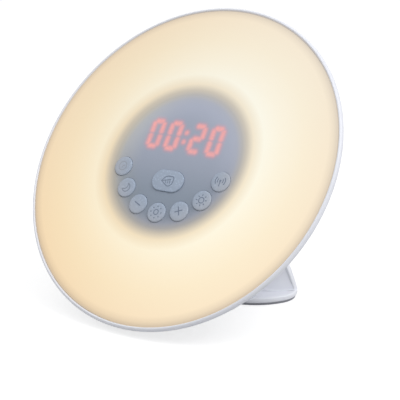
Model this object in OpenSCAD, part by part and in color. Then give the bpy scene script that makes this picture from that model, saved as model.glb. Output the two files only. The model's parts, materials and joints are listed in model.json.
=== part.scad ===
// Sunrise alarm clock: a round opal light face with eight keys and a lit time display,
// a shallow rear housing with a round pod for the speaker and boards, and a rear stand.
// The origin is the middle of the foot pad's underside. +Z is up and the face looks to -Y.

/* [Head] */
// Outer diameter of the round head
head_d = 168; // [167:0.5:170]
// Angle that the face leans back from upright
lean = 37; // [36:0.5:38]
// Gap between the head's lower edge and the table
rim_gap = 3; // [2.6:0.1:3.4]
// Rise of the face's middle above its edge
face_crown = 0.6; // [0.4:0.1:1.2]
// Thickness of the opal face
face_t = 2; // [1.8:0.1:2]
// Depth of the head from the face's edge plane to the back of the pod
pod_depth = 40; // [39.8:0.1:40.2]

/* [Keys] */
// Diameter of a round key
key_d = 10; // [8:0.5:10]
// Radius of the arc on which the round keys lie
key_arc_r = 30.3; // [30:0.1:30.4]
// Height of the arc's centre above the middle of the face
key_arc_rise = 3.1; // [3:0.1:3.4]
// Angle from one round key to the next
key_step = 23.4; // [23:0.1:23.6]
// Width of the snooze key
snooze_w = 17.8; // [14:0.2:18]
// Height of the snooze key
snooze_h = 10.8; // [9:0.2:11]
// Distance of the snooze key below the middle of the face
snooze_drop = 11; // [10.6:0.1:11.6]
// Height of a key above the face
key_proud = 0.6; // [0.6:0.1:1]

/* [Display] */
// Height of a digit between the middles of its top and bottom bars
digit_h = 13.2; // [11:0.1:14]
// Width of a digit between the middles of its upright bars
digit_w = 5.4; // [4.6:0.1:6]
// Distance from one digit to the next within a pair
digit_pitch = 10.5; // [10:0.1:11]
// Width of a bar
bar_w = 1.8; // [1.4:0.1:2]
// Height of the display's middle above the middle of the face
display_rise = 12.4; // [12:0.1:12.8]

/* [Lamp] */
// Number of lamps round the display
lamp_count = 12; // [8:4:16]
// Radius of the ring of lamps
lamp_ring_r = 50; // [49:0.5:51]

/* [Stand] */
// Half width of the foot
foot_half_w = 46.2; // [45.8:0.1:46.6]
// Distance of the foot's front edge ahead of the origin
foot_front = 18.2; // [17.6:0.1:19]
// Thickness of the foot plate inside its lip
foot_t = 2.3; // [2.2:0.1:2.6]
// Height of the lip along the foot's front edge
foot_lip_h = 0.5; // [0.4:0.1:0.7]
// Thickness of the rubber pad under the foot
pad_t = 1.2; // [1:0.1:1.4]
// Angle that the stand leans forward from upright
stand_lean = 14; // [13:0.5:15]
// Wall thickness of the stand
stand_wall = 2.2; // [2:0.1:2.4]

/* [Hidden] */

$fn = 96;
eps = 0.01;

// Colours
white = [0.93, 0.93, 0.95];
opal = [0.98, 0.91, 0.79];
key_grey = [0.68, 0.73, 0.80];
board_green = [0.10, 0.36, 0.22];
black = [0.10, 0.10, 0.11];
steel = [0.72, 0.72, 0.74];
brass = [0.80, 0.64, 0.32];
red = [0.95, 0.35, 0.32];
rubber_grey = [0.25, 0.26, 0.29];
lead_red = [0.75, 0.12, 0.12];
lead_black = [0.15, 0.15, 0.16];

// Head: radii from the middle of the face, heights along the face's normal
head_r = head_d / 2;
skirt_r = head_r - 2.1;
flat_r = head_r - 8;
skirt_z = -2.6;
edge_drop = 1;
wall = 2.2;
rim_low_r = head_r - 0.5;
rim_low_z = -3.2;
pod_r = 45.8;
pod_in = -pod_depth + wall;
head_z = rim_low_r * cos(lean) - rim_low_z * sin(lean) + rim_gap;
head_y = -25;

// Height of the face at a distance from its middle
function face_z(r) = face_crown * (1 - pow(r / flat_r, 2));

// Barrel and boards
barrel_r = 37.2;
barrel_t = 1.6;
seal_t = 0.35;
barrel_front = face_z(barrel_r) - face_t - seal_t - 0.07;
barrel_back = -15;
flange_r = 43.4;
flange_t = 1.4;
post_ring_r = 40.2;
board_t = 1.6;
display_board_z = -8.2;
display_board_r = 34.8;
lug_r = 31.5;
lug_angles = [5, 90, 175, 282.6];
led_board_z = -12.2;
led_board_t = 1.2;
main_board_z = -19;
main_board_w = 60;
main_board_h = 43;
main_board_y = -2;
main_post_x = 26.5;
main_post_y = 18;
inlet_board_z = -29;
inlet_post_x = 33.5;
inlet_post_y = 4.8;
inlet_board_t = 1.2;

// Leads, and their headers on the main board as [x, y, width]
lead_d = 0.8;
lead_pitch = 1.3;
lead_z = main_board_z + 2;
ribbon_header = [-8, 12.5, 16];
ring_header = [-22, -5, 8];
inlet_header = [24, -6, 7];
speaker_header = [12, 16.6, 7];
header_d = 4;
header_h = 3.6;
header_wall = 0.8;

// Keys and switches
key_gap = 0.25;
key_flange = 0.7;
key_flange_t = 0.8;
flange_drop = 0.4;
switch_w = 6;
switch_top = -4.8;
plunger_r = 1.7;
plunger_low = -6.6;
plunger_high = -3.2;
stem_r = 2.2;
snooze_r = snooze_h / 2;
snooze_half = snooze_w / 2 - snooze_r;

// Display
display_w = 46;
display_h = 20;
display_top = face_z(barrel_r) - face_t - 0.4;
bar_t = 0.6;
digit_xs = [for (side = [-1, 1], step = [-0.5, 0.5]) side * (digit_pitch / 2 + 6.85) + step * digit_pitch];
dot_r = 1;
dot_y = 2.4;

// Speaker
speaker_y = 16;
speaker_r = 20;
speaker_boss_r = 21.9;
grille_pitch = 4.2;
grille_hole_r = 1;
grille_rings = 3;

// Grommet in the pod's back
grommet_x = -33;
grommet_y = 8;
grommet_r = 2.6;

// Foot outline: a wide front arc, then on each side a side arc, a corner and a small rear corner
foot_top = pad_t + foot_t;
side_arc_r = 29;
corner_r = 12.8;
rear_corner_r = 3;
front_turn = -69.5;
side_turn = -30;
corner_turn = 30;
side_x = foot_half_w - corner_r - (side_arc_r - corner_r) * cos(side_turn);
front_arc_r = side_arc_r + side_x / cos(front_turn);
front_arc_y = front_arc_r - foot_front;
side_y = front_arc_y + (front_arc_r - side_arc_r) * sin(front_turn);
corner_x = foot_half_w - corner_r;
corner_y = side_y + (side_arc_r - corner_r) * sin(side_turn);
rear_x = corner_x + (corner_r - rear_corner_r) * cos(corner_turn);
rear_y = corner_y + (corner_r - rear_corner_r) * sin(corner_turn);

// Stand, in the clock's own frame
plate_back = 13.3;
plate_t = 3;
plate_lip = 1;
web_r = 66;
web_y = 59.5;
stand_len = 62;
roof_t = 2.6;
stand_screw_spots = [[-23, -13], [-12, -16], [12, -16], [23, -13]];
base_screw_spots = [[-30, 4.2], [-15, -1.6], [15, -1.6], [30, 4.2]];
lead_hole_y = -16;
lead_hole_r = 3;

// Coin cell and its door, measured in from the stand's back along its normal
cell_rise = 15;
cell_r = 10;
cell_t = 3.2;
door_r = 12;
door_t = 1.6;
lip_r = 11;
lug_t = 1.2;
lug_w = 5;
lug_turn = 60;
door_gap = 0.3;
holder_r = door_r + 1.2;
cup_r = cell_r + 1.4;
holder_depth = plate_t + lug_t + 0.4;
holder_floor_z = -holder_depth - cell_t - 0.8;

// Screws
screw_r = 1;
screw_head_r = 1.9;
screw_head_t = 1.2;

// Points along a circular arc
function arc_points(cx, cy, r, a0, a1, n) =
  [for (i = [0:n]) let (a = a0 + (a1 - a0) * i / n) [cx + r * cos(a), cy + r * sin(a)]];

// The same outline on the other side of the middle, in the opposite order
function mirrored(points) = [for (i = [len(points) - 1:-1:0]) [-points[i][0], points[i][1]]];

// Middle of a round key, counted from the lowest one
function key_xy(i) = [key_arc_r * sin(i * key_step), key_arc_rise - key_arc_r * cos(i * key_step)];

// Half width of the stand's back plate at a height along it
function plate_half_w(s) = foot_half_w - 1.8 - 0.1 * s - 0.007 * s * s;

// A point on a curve with four control points, and the direction there
function curve_at(p, t) =
  pow(1 - t, 3) * p[0] + 3 * t * pow(1 - t, 2) * p[1] + 3 * t * t * (1 - t) * p[2] + pow(t, 3) * p[3];
function curve_dir(p, t) =
  3 * pow(1 - t, 2) * (p[1] - p[0]) + 6 * t * (1 - t) * (p[2] - p[1]) + 3 * t * t * (p[3] - p[2]);

// A point given in the head's frame or on the stand's back, in the clock's own frame
function head_point(p) = [
  p[0],
  head_y + p[1] * sin(lean) - p[2] * cos(lean),
  head_z + p[1] * cos(lean) + p[2] * sin(lean)
];
function back_point(p) = [
  -p[0],
  plate_back - p[1] * sin(stand_lean) + p[2] * cos(stand_lean),
  foot_top + p[1] * cos(stand_lean) + p[2] * sin(stand_lean)
];

// Places its children in the head's frame: x to the right, y up the face, z out of it
module in_head() {
  translate([0, head_y, head_z])
    rotate([90 - lean, 0, 0])
      children();
}

// Places its children on the stand's back: x to the right, y up the plate, z out to the rear
module on_stand_back() {
  translate([0, plate_back, foot_top])
    rotate([stand_lean, 0, 0])
      rotate([90, 0, 180])
        children();
}

// A lead swept along a curve with four control points
module lead(p, d = lead_d, rings = 14, sides = 8) {
  points = [
    for (i = [0:rings], j = [0:sides - 1])
      let (
        t = i / rings,
        dir = curve_dir(p, t) / norm(curve_dir(p, t)),
        across = cross(dir, [0.31, 0.95, 0.05]) / norm(cross(dir, [0.31, 0.95, 0.05])),
        other = cross(dir, across),
        a = 360 * j / sides
      )
      curve_at(p, t) + d / 2 * (cos(a) * across + sin(a) * other)
  ];
  sides_faces = [
    for (i = [0:rings - 1], j = [0:sides - 1])
      [i * sides + j, (i + 1) * sides + j, (i + 1) * sides + (j + 1) % sides, i * sides + (j + 1) % sides]
  ];
  start_face = [for (j = [0:sides - 1]) j];
  end_face = [for (j = [sides - 1:-1:0]) rings * sides + j];
  polyhedron(points, concat(sides_faces, [start_face], [end_face]));
}

// A pan-head screw with its head's underside at z = 0 and its shank down
module screw(length) {
  cylinder(h = screw_head_t, r = screw_head_r, $fn = 32);
  translate([0, 0, -length])
    cylinder(h = length + eps, r = screw_r - 0.02, $fn = 32);
}

// A boss with a pilot hole, from a floor up to a top
module boss(x, y, z0, z1, r) {
  translate([x, y, z0])
    cylinder(h = z1 - z0, r = r, $fn = 32);
}

module pilot(x, y, z1, depth) {
  translate([x, y, z1 - depth])
    cylinder(h = depth + 1, r = screw_r, $fn = 32);
}

// The rounded outline of the snooze key, grown on all sides
module snooze_outline(grow) {
  square([2 * snooze_half, 2 * (snooze_r + grow)], center = true);
  for (side = [-1, 1])
    translate([side * snooze_half, 0])
      circle(r = snooze_r + grow);
}

// Section of the opal face: a shallow dome with a rolled edge and a skirt
module diffuser_section() {
  crown = [for (i = [0:12]) let (r = flat_r * i / 12) [r, face_z(r)]];
  edge = [for (i = [1:8]) let (a = 90 * i / 8) [
    flat_r + (skirt_r - flat_r) * sin(a),
    edge_drop * (cos(a) - 1)
  ]];
  inner_r = skirt_r - face_t;
  inner_edge = [for (i = [8:-1:1]) let (a = 90 * i / 8) [
    flat_r + (inner_r - flat_r) * sin(a),
    edge_drop * (cos(a) - 1) - face_t * cos(a)
  ]];
  inner_crown = [for (i = [12:-1:0]) let (r = flat_r * i / 12) [r, face_z(r) - face_t]];
  polygon(concat(crown, edge, [[skirt_r, skirt_z], [inner_r, skirt_z]], inner_edge, inner_crown));
}

// Opal face with the holes that the keys stand in
module front_diffuser() {
  color(opal)
    in_head()
      difference() {
        rotate_extrude($fn = 180)
          diffuser_section();
        for (i = [-3:3])
          translate([key_xy(i)[0], key_xy(i)[1], -6])
            cylinder(h = 12, r = key_d / 2 + key_gap, $fn = 64);
        translate([0, -snooze_drop, -6])
          linear_extrude(12)
            snooze_outline(key_gap);
      }
}

// Cap of a round key: a low dome, a flange behind the face and a stem to the switch
module round_key(i) {
  r = key_d / 2;
  top = face_z(key_arc_r) + key_proud;
  flange_top = face_z(key_arc_r) - face_t - flange_drop;
  color(key_grey)
    in_head()
      translate([key_xy(i)[0], key_xy(i)[1], 0])
        rotate_extrude($fn = 64)
          polygon([
            [0, plunger_high], [stem_r, plunger_high], [stem_r, flange_top - key_flange_t],
            [r + key_flange, flange_top - key_flange_t], [r + key_flange, flange_top], [r, flange_top],
            [r, top - 0.5], [r - 0.15, top - 0.2], [r - 0.5, top], [r - 1.2, top + 0.08], [0, top + 0.2]
          ]);
}

// Cap of the long snooze key, with the same flange and stem as the round ones
module snooze_key() {
  top = face_z(snooze_drop) + key_proud;
  flange_top = face_z(snooze_drop) - face_t - flange_drop;
  color(key_grey)
    in_head()
      translate([0, -snooze_drop, 0]) {
        translate([0, 0, flange_top - key_flange_t])
          linear_extrude(key_flange_t)
            snooze_outline(key_flange);
        translate([0, 0, flange_top - eps])
          linear_extrude(top - 0.4 - flange_top + eps)
            snooze_outline(0);
        translate([0, 0, top - 0.4 - eps])
          linear_extrude(0.4 + eps)
            snooze_outline(-0.3);
        translate([0, 0, plunger_high])
          cylinder(h = flange_top - plunger_high, r = stem_r, $fn = 48);
      }
}

// Plunger of a key switch, standing in the switch and pressed by the cap's stem
module plunger(xy) {
  color(black)
    in_head()
      translate([xy[0], xy[1], plunger_low])
        cylinder(h = plunger_high - plunger_low, r = plunger_r, $fn = 48);
}

// Square switch bodies on the display board, one behind each key
module key_switches() {
  spots = concat([for (i = [-3:3]) key_xy(i)], [[0, -snooze_drop]]);
  color(black)
    in_head()
      for (spot = spots)
        translate([spot[0], spot[1], display_board_z])
          difference() {
            translate([-switch_w / 2, -switch_w / 2, 0])
              cube([switch_w, switch_w, switch_top - display_board_z]);
            translate([0, 0, 0.8])
              cylinder(h = 6, r = plunger_r + 0.2, $fn = 48);
          }
}

// Opaque tube with a flange and four lugs, which keeps the lamps' light off the display
module light_barrel() {
  color(white)
    in_head()
      difference() {
        union() {
          translate([0, 0, barrel_back])
            cylinder(h = barrel_front - barrel_back, r = barrel_r);
          translate([0, 0, barrel_back])
            cylinder(h = flange_t, r = flange_r);
        }
        difference() {
          translate([0, 0, barrel_back - 1])
            cylinder(h = barrel_front - barrel_back + 2, r = barrel_r - barrel_t);
          for (a = lug_angles)
            rotate([0, 0, a])
              translate([lug_r - 2.8, -2.8, display_board_z - board_t - 2.4])
                cube([12, 5.6, 2.4]);
        }
        for (a = lug_angles)
          rotate([0, 0, a])
            pilot(lug_r, 0, display_board_z - board_t, 4);
        for (k = [0:2])
          rotate([0, 0, 30 + 120 * k])
            translate([post_ring_r, 0, barrel_back - 1])
              cylinder(h = 4, r = screw_r + 0.15, $fn = 32);
      }
}

// Foam ring between the tube's front and the face
module light_seal() {
  color(black)
    in_head()
      translate([0, 0, barrel_front])
        difference() {
          cylinder(h = seal_t, r = barrel_r - 0.1);
          translate([0, 0, -1])
            cylinder(h = 3, r = barrel_r - barrel_t + 0.1);
        }
}

// Round board that carries the display and the switches
module display_board() {
  color(board_green)
    in_head()
      difference() {
        translate([0, 0, display_board_z - board_t])
          cylinder(h = board_t, r = display_board_r);
        for (a = lug_angles)
          rotate([0, 0, a])
            translate([lug_r, 0, display_board_z - 5])
              cylinder(h = 8, r = screw_r + 0.15, $fn = 32);
      }
}

// One bar of a digit, lying along x
module bar_outline(length, grow) {
  half = length / 2 - bar_w / 2 - 0.1 + grow;
  w = bar_w / 2 + grow;
  polygon([[-half - w, 0], [-half, w], [half, w], [half + w, 0], [half, -w], [-half, -w]]);
}

// The seven bars of one digit
module digit_outline(grow) {
  for (row = [-1:1])
    translate([0, row * digit_h / 2])
      bar_outline(digit_w, grow);
  for (side = [-1, 1], row = [-1, 1])
    translate([side * digit_w / 2, row * digit_h / 4])
      rotate([0, 0, 90])
        bar_outline(digit_h / 2, grow);
}

// All four digits and the two dots between the pairs
module display_outline(grow) {
  for (x = digit_xs)
    translate([x, display_rise])
      digit_outline(grow);
  for (side = [-1, 1])
    translate([0, display_rise + side * dot_y])
      circle(r = dot_r + grow, $fn = 32);
}

// Black display block with a recess for each bar
module digit_display() {
  color(black)
    in_head()
      difference() {
        translate([-display_w / 2, display_rise - display_h / 2, display_board_z])
          cube([display_w, display_h, display_top - display_board_z]);
        translate([0, 0, display_top - bar_t])
          linear_extrude(2)
            display_outline(0.05);
      }
}

// Bars and dots that light up in the display block
module digit_bars() {
  color(red)
    in_head()
      translate([0, 0, display_top - bar_t])
        linear_extrude(bar_t)
          display_outline(0);
}

// Three screws that hold the tube's flange to the housing's posts
module barrel_screws() {
  color(steel)
    in_head()
      for (k = [0:2])
        rotate([0, 0, 30 + 120 * k])
          translate([post_ring_r, 0, barrel_back + flange_t])
            screw(6);
}

// Screws of the four circuit boards
module board_screws() {
  color(steel)
    in_head() {
      for (a = lug_angles)
        rotate([0, 0, a])
          translate([lug_r, 0, display_board_z])
            screw(3.6);
      for (k = [0:3])
        rotate([0, 0, 90 * k])
          translate([lamp_ring_r, 0, led_board_z])
            screw(4);
      for (sx = [-1, 1], sy = [-1, 1])
        translate([sx * main_post_x, main_board_y + sy * main_post_y, main_board_z])
          screw(5);
      for (sy = [-1, 1])
        translate([inlet_post_x, sy * inlet_post_y, inlet_board_z])
          screw(4);
    }
}

// Ring-shaped white board for the lamps
module led_ring_board() {
  color("white")
    in_head()
      difference() {
        translate([0, 0, led_board_z - led_board_t])
          cylinder(h = led_board_t, r = lamp_ring_r + 7);
        translate([0, 0, led_board_z - 5])
          cylinder(h = 8, r = flange_r + 0.6);
        for (k = [0:3])
          rotate([0, 0, 90 * k])
            translate([lamp_ring_r, 0, led_board_z - 5])
              cylinder(h = 8, r = screw_r + 0.15, $fn = 32);
      }
}

// Square lamps with a round lens recess, evenly round the ring board
module ring_leds() {
  half = 180 / lamp_count;
  color(opal)
    in_head()
      for (k = [0:lamp_count - 1])
        rotate([0, 0, half + 2 * half * k])
          translate([lamp_ring_r - 2.5, -2.5, led_board_z])
            difference() {
              cube([5, 5, 1.6]);
              translate([2.5, 2.5, 1.3])
                cylinder(h = 1, r = 2, $fn = 32);
            }
}

// White dished sheet over the ring board, open at each lamp
module reflector() {
  half = 180 / lamp_count;
  inner = barrel_r + 0.6;
  floor_z = led_board_z + 1.3;
  outer = head_r - 7.4;
  color("white")
    in_head()
      difference() {
        rotate_extrude($fn = 120)
          polygon([
            [inner, floor_z], [lamp_ring_r + 7, floor_z], [lamp_ring_r + 17, floor_z + 2.4], [outer, -7.6],
            [outer, -6.6], [lamp_ring_r + 16.6, floor_z + 3.4], [lamp_ring_r + 6.7, floor_z + 1],
            [inner, floor_z + 1]
          ]);
        for (k = [0:lamp_count - 1])
          rotate([0, 0, half + 2 * half * k])
            translate([lamp_ring_r - 2.9, -2.9, floor_z - 1])
              cube([5.8, 5.8, 4]);
        for (k = [0:3])
          rotate([0, 0, 90 * k])
            translate([lamp_ring_r, 0, floor_z - 1])
              cylinder(h = 4, r = screw_head_r + 0.4, $fn = 32);
      }
}

// Outer and inner outlines of the rear housing, from its front edge to its axis
housing_outer = [
  [head_r - 1.8, -1.2], [head_r - 1.6, -0.8], [head_r - 1.2, -0.5], [head_r - 0.7, -0.7],
  [head_r - 0.25, -1.2], [head_r, -2], [head_r - 0.05, -2.6], [rim_low_r, rim_low_z],
  [head_r - 1.2, -4], [head_r - 2.2, -5.2], [head_r - 3.7, -7], [head_r - 5.6, -9], [head_r - 8, -10.9],
  [head_r - 14, -13.6], [head_r - 24, -17], [54, -18.7], [50.8, -20.1], [48.6, -22],
  [47.4, -24.6], [46.8, -28], [pod_r, 5 - pod_depth], [pod_r - 0.9, 2.4 - pod_depth],
  [pod_r - 2.8, 0.8 - pod_depth], [pod_r - 5.4, -pod_depth], [0, -pod_depth]
];
housing_inner = [
  [0, pod_in], [pod_r - 5.8, pod_in], [pod_r - 4.2, pod_in + 0.5], [pod_r - 2.8, pod_in + 1.8],
  [pod_r - 2.2, 5 - pod_depth], [44.6, -28], [45.1, -25], [46.4, -21], [48.9, -18.5], [53.2, -16.7],
  [head_r - 24.6, -14.9], [head_r - 14.8, -11.6], [head_r - 9.2, -9.1], [head_r - 7.2, -7.6],
  [head_r - 5.6, -6], [head_r - 4.4, -4.4], [head_r - 4.4, skirt_z - 0.1], [head_r - 1.9, skirt_z - 0.1]
];

// Shell with the rim, the pod and the posts that the inner parts stand on
module rear_housing() {
  color(white)
    in_head()
      difference() {
        union() {
          rotate_extrude($fn = 180)
            polygon(concat(housing_outer, housing_inner));
          for (k = [0:2])
            rotate([0, 0, 30 + 120 * k])
              boss(post_ring_r, 0, pod_in - eps, barrel_back, 3);
          for (k = [0:3])
            rotate([0, 0, 90 * k])
              boss(lamp_ring_r, 0, -19, led_board_z - led_board_t, 2.6);
          for (sx = [-1, 1], sy = [-1, 1])
            boss(sx * main_post_x, main_board_y + sy * main_post_y, pod_in - eps, main_board_z - board_t, 2.8);
          for (sy = [-1, 1])
            boss(inlet_post_x, sy * inlet_post_y, pod_in - eps, inlet_board_z - inlet_board_t, 2.3);
          for (a = [45:90:315])
            boss(speaker_boss_r * cos(a), speaker_y + speaker_boss_r * sin(a), pod_in - eps, pod_in + 2.1, 2.4);
        }
        for (k = [0:2])
          rotate([0, 0, 30 + 120 * k])
            pilot(post_ring_r, 0, barrel_back, 8);
        for (k = [0:3])
          rotate([0, 0, 90 * k])
            pilot(lamp_ring_r, 0, led_board_z - led_board_t, 3.2);
        for (sx = [-1, 1], sy = [-1, 1])
          pilot(sx * main_post_x, main_board_y + sy * main_post_y, main_board_z - board_t, 6);
        for (sy = [-1, 1])
          pilot(inlet_post_x, sy * inlet_post_y, inlet_board_z - inlet_board_t, 5);
        for (a = [45:90:315])
          pilot(speaker_boss_r * cos(a), speaker_y + speaker_boss_r * sin(a), pod_in + 2.1, 3.2);
        grille_holes();
        for (spot = stand_screw_spots)
          translate([spot[0], spot[1], -pod_depth - 1])
            cylinder(h = 5, r = screw_r + 0.15, $fn = 32);
        translate([0, lead_hole_y, -pod_depth - 1])
          cylinder(h = 5, r = lead_hole_r, $fn = 48);
        translate([grommet_x, grommet_y, -pod_depth - 1])
          cylinder(h = 5, r = grommet_r, $fn = 48);
        translate([40, -4.2, inlet_board_z - 0.3])
          cube([10, 8.4, 3.3]);
      }
}

// Sound holes of the speaker: a middle hole and rings of six, twelve and eighteen
module grille_holes() {
  translate([0, speaker_y, -pod_depth - 1])
    cylinder(h = 5, r = grille_hole_r, $fn = 32);
  for (ring = [1:grille_rings], k = [0:6 * grille_rings - 1])
    if (k < 6 * ring)
      translate([0, speaker_y, -pod_depth - 1])
        rotate([0, 0, 60 * k / ring])
          translate([ring * grille_pitch, 0, 0])
            cylinder(h = 5, r = grille_hole_r, $fn = 32);
}

// Main circuit board on its four posts
module main_board() {
  color(board_green)
    in_head()
      difference() {
        translate([-main_board_w / 2, main_board_y - main_board_h / 2, main_board_z - board_t])
          cube([main_board_w, main_board_h, board_t]);
        for (sx = [-1, 1], sy = [-1, 1])
          translate([sx * main_post_x, main_board_y + sy * main_post_y, main_board_z - 4])
            cylinder(h = 8, r = screw_r + 0.15, $fn = 32);
      }
}

// A chip with legs on two sides
module chip(x, y, w, h, legs) {
  translate([x - w / 2, y - h / 2, main_board_z])
    cube([w, h, 1.6]);
  for (k = [0:legs - 1], side = [-1, 1])
    translate([x - w / 2 + (k + 0.5) * w / legs - 0.2, y + side * (h / 2 + 0.5) - 0.55, main_board_z])
      cube([0.4, 1.1, 0.7]);
}

// Processor, radio receiver and sound amplifier on the main board
module processor_chip() {
  color(black)
    in_head()
      chip(-2, 3, 18, 7.5, 14);
}

module radio_chip() {
  color(black)
    in_head()
      chip(-18, -13, 6, 4, 8);
}

module amplifier_chip() {
  color(black)
    in_head()
      chip(14, -12, 5, 4, 4);
}

// Round capacitors, each given as [x, y, radius, height]
module capacitors() {
  color([0.20, 0.22, 0.30])
    in_head()
      for (spot = [[20, 2, 3.2, 6], [20, 10, 3.2, 6], [5, -14, 2.5, 5], [-5, -17, 2.5, 5]])
        translate([spot[0], spot[1], main_board_z])
          cylinder(h = spot[3], r = spot[2], $fn = 48);
}

// Crystal can with rounded ends, which keeps the time
module clock_crystal() {
  color(steel)
    in_head()
      translate([-18, 2, main_board_z]) {
        translate([-3, -1.5, 0])
          cube([6, 3, 3]);
        for (side = [-1, 1])
          translate([side * 3, 0, 0])
            cylinder(h = 3, r = 1.5, $fn = 32);
      }
}

// Open headers that the ribbon and the leads plug into
module lead_headers() {
  color([0.92, 0.90, 0.84])
    in_head()
      for (header = [ribbon_header, ring_header, inlet_header, speaker_header])
        translate([header[0] - header[2] / 2, header[1] - header_d / 2, main_board_z])
          difference() {
            cube([header[2], header_d, header_h]);
            translate([header_wall, header_wall, 1])
              cube([header[2] - 2 * header_wall, header_d - 2 * header_wall, header_h]);
          }
}

// Small board of the supply inlet
module inlet_board() {
  color(board_green)
    in_head()
      difference() {
        translate([30, -7.5, inlet_board_z - inlet_board_t])
          cube([12.4, 15, inlet_board_t]);
        for (sy = [-1, 1])
          translate([inlet_post_x, sy * inlet_post_y, inlet_board_z - 4])
            cylinder(h = 8, r = screw_r + 0.15, $fn = 32);
      }
}

// Micro-USB shell with its tongue, open to the side of the pod
module usb_socket() {
  color(steel)
    in_head()
      translate([39.4, -3.8, inlet_board_z])
        difference() {
          cube([5.8, 7.6, 2.7]);
          difference() {
            translate([0.8, 0.4, 0.4])
              cube([6, 6.8, 1.9]);
            translate([0, 1.6, 1.0])
              cube([4.8, 4.4, 0.6]);
          }
        }
}

// Rubber grommet in the pod's back, through which an antenna wire would pass
module antenna_grommet() {
  bore = 0.8;
  r = grommet_r;
  color(rubber_grey)
    in_head()
      translate([grommet_x, grommet_y, -pod_depth])
        rotate_extrude($fn = 48)
          polygon([
            [bore, -1.2], [r + 0.6, -1.2], [r + 1.1, -0.6], [r + 1.1, 0], [r, 0], [r, wall],
            [r + 0.7, wall], [r + 0.7, wall + 1], [bore, wall + 1]
          ]);
}

// Speaker, facing the sound holes
module speaker_gasket() {
  color(black)
    in_head()
      translate([0, speaker_y, pod_in])
        difference() {
          cylinder(h = 0.7, r = speaker_r - 0.6);
          translate([0, 0, -1])
            cylinder(h = 3, r = speaker_r - 3);
        }
}

module speaker_frame() {
  color(steel)
    in_head()
      translate([0, speaker_y, pod_in + 0.7])
        rotate_extrude()
          polygon([
            [speaker_r - 3, 0], [speaker_r - 0.6, 0], [speaker_r - 0.6, 1.2], [speaker_r - 2, 1.2],
            [speaker_r - 4.4, 3], [11.4, 6.6], [10.4, 7.2], [4, 7.2], [4, 6.2], [10, 6.2], [10.8, 5.6],
            [speaker_r - 5, 2.6], [speaker_r - 3, 1]
          ]);
}

module speaker_cone() {
  color([0.16, 0.16, 0.17])
    in_head()
      translate([0, speaker_y, pod_in + 0.7])
        rotate_extrude()
          polygon([
            [0, 2], [3, 2.3], [5, 3.4], [speaker_r - 6.4, 1.1], [speaker_r - 5, 0.5], [speaker_r - 3.4, 0.6],
            [speaker_r - 3.4, 0.9], [speaker_r - 5, 0.9], [speaker_r - 6.4, 1.5], [5.4, 4], [5.4, 5.6], [4.6, 5.6],
            [4.6, 3.9], [3, 2.8], [0, 2.5]
          ]);
}

module speaker_magnet() {
  color([0.30, 0.30, 0.32])
    in_head()
      translate([0, speaker_y, pod_in + 7.9])
        cylinder(h = 4.6, r = 11);
}

module speaker_screws() {
  color(steel)
    in_head()
      for (a = [45:90:315])
        translate([speaker_boss_r * cos(a), speaker_y + speaker_boss_r * sin(a), pod_in + 2.1])
          screw(3);
}

// A flat ribbon between the display board and the main board
module display_ribbon() {
  color([0.80, 0.80, 0.82])
    in_head()
      translate([-14, 0, 0])
        rotate([90, 0, 90])
          linear_extrude(12)
            polygon([
              [11.8, main_board_z + 1.2], [13.2, main_board_z + 1.2], [13.2, -13.6], [12.4, -11.6],
              [12.4, display_board_z - board_t], [11.6, display_board_z - board_t], [11.6, -11.8], [12.4, -13.8],
              [12.4, main_board_z + 2], [11.8, main_board_z + 2]
            ]);
}

// Three leads from the main board round the barrel to the ring board
module ring_leads() {
  color(lead_red)
    in_head()
      for (k = [-1:1])
        lead([
          [ring_header[0] + 1.7 * k, ring_header[1] + 0.7, lead_z],
          [ring_header[0] + 1.7 * k, ring_header[1] + 0.7, lead_z + 9],
          [-38 + k, -24 - k, -24],
          [-40 + k, -25 - k, led_board_z - led_board_t - 0.15]
        ]);
}

// Two leads from the main board to the speaker's frame
module speaker_leads() {
  color(lead_red)
    in_head()
      for (k = [-0.5, 0.5])
        lead([
          [speaker_header[0] + lead_pitch * k, speaker_header[1], lead_z],
          [speaker_header[0] + lead_pitch * k, speaker_header[1] + 1, lead_z + 11],
          [speaker_header[0] + 1.4 * lead_pitch * k, 34, -20],
          [speaker_header[0] - 2 + 1.4 * lead_pitch * k, 28.4 - lead_pitch * k, pod_in + 4.2]
        ]);
}

// Two leads from the main board to the inlet's board
module inlet_leads() {
  color(lead_black)
    in_head()
      for (k = [-0.5, 0.5])
        lead([
          [inlet_header[0], inlet_header[1] + lead_pitch * k, lead_z],
          [inlet_header[0] + 0.5, inlet_header[1] + lead_pitch * k, lead_z + 9],
          [38, inlet_header[1] + lead_pitch * k, -12],
          [37.2, inlet_header[1] + lead_pitch * k, inlet_board_z + 0.1]
        ]);
}

// Two leads from the main board through the pod's back to the coin-cell holder
module cell_leads() {
  color(lead_black)
    for (side = [-1, 1])
      lead([
        head_point([side, -12, main_board_z - board_t - 0.1]),
        head_point([side, -12, -36]),
        head_point([side, -18.5, -46]),
        back_point([-side, cell_rise + cup_r + 0.3, -7.4])
      ]);
}

// Outline of the foot plate, drawn in from its edge by an inset
module foot_outline(inset) {
  half = concat(
    arc_points(0, front_arc_y, front_arc_r - inset, -90, front_turn, 8),
    arc_points(side_x, side_y, side_arc_r - inset, front_turn, side_turn, 12),
    arc_points(corner_x, corner_y, corner_r - inset, side_turn, corner_turn, 8),
    arc_points(rear_x, rear_y, rear_corner_r - inset, corner_turn, 90, 6)
  );
  polygon(concat(half, mirrored(half)));
}

// Everything that lies at least a gap behind the pod's back
module behind_pod(gap) {
  in_head()
    translate([-150, -150, -150 - pod_depth - gap])
      cube([300, 300, 150]);
}

// Outline of the stand's back plate, drawn in from its sides by an inset
module plate_outline(inset) {
  side = [for (i = [0:16]) let (s = -2 + i * (stand_len - 4) / 16) [plate_half_w(s) - inset, s]];
  polygon(concat(side, mirrored(side)));
}

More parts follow.
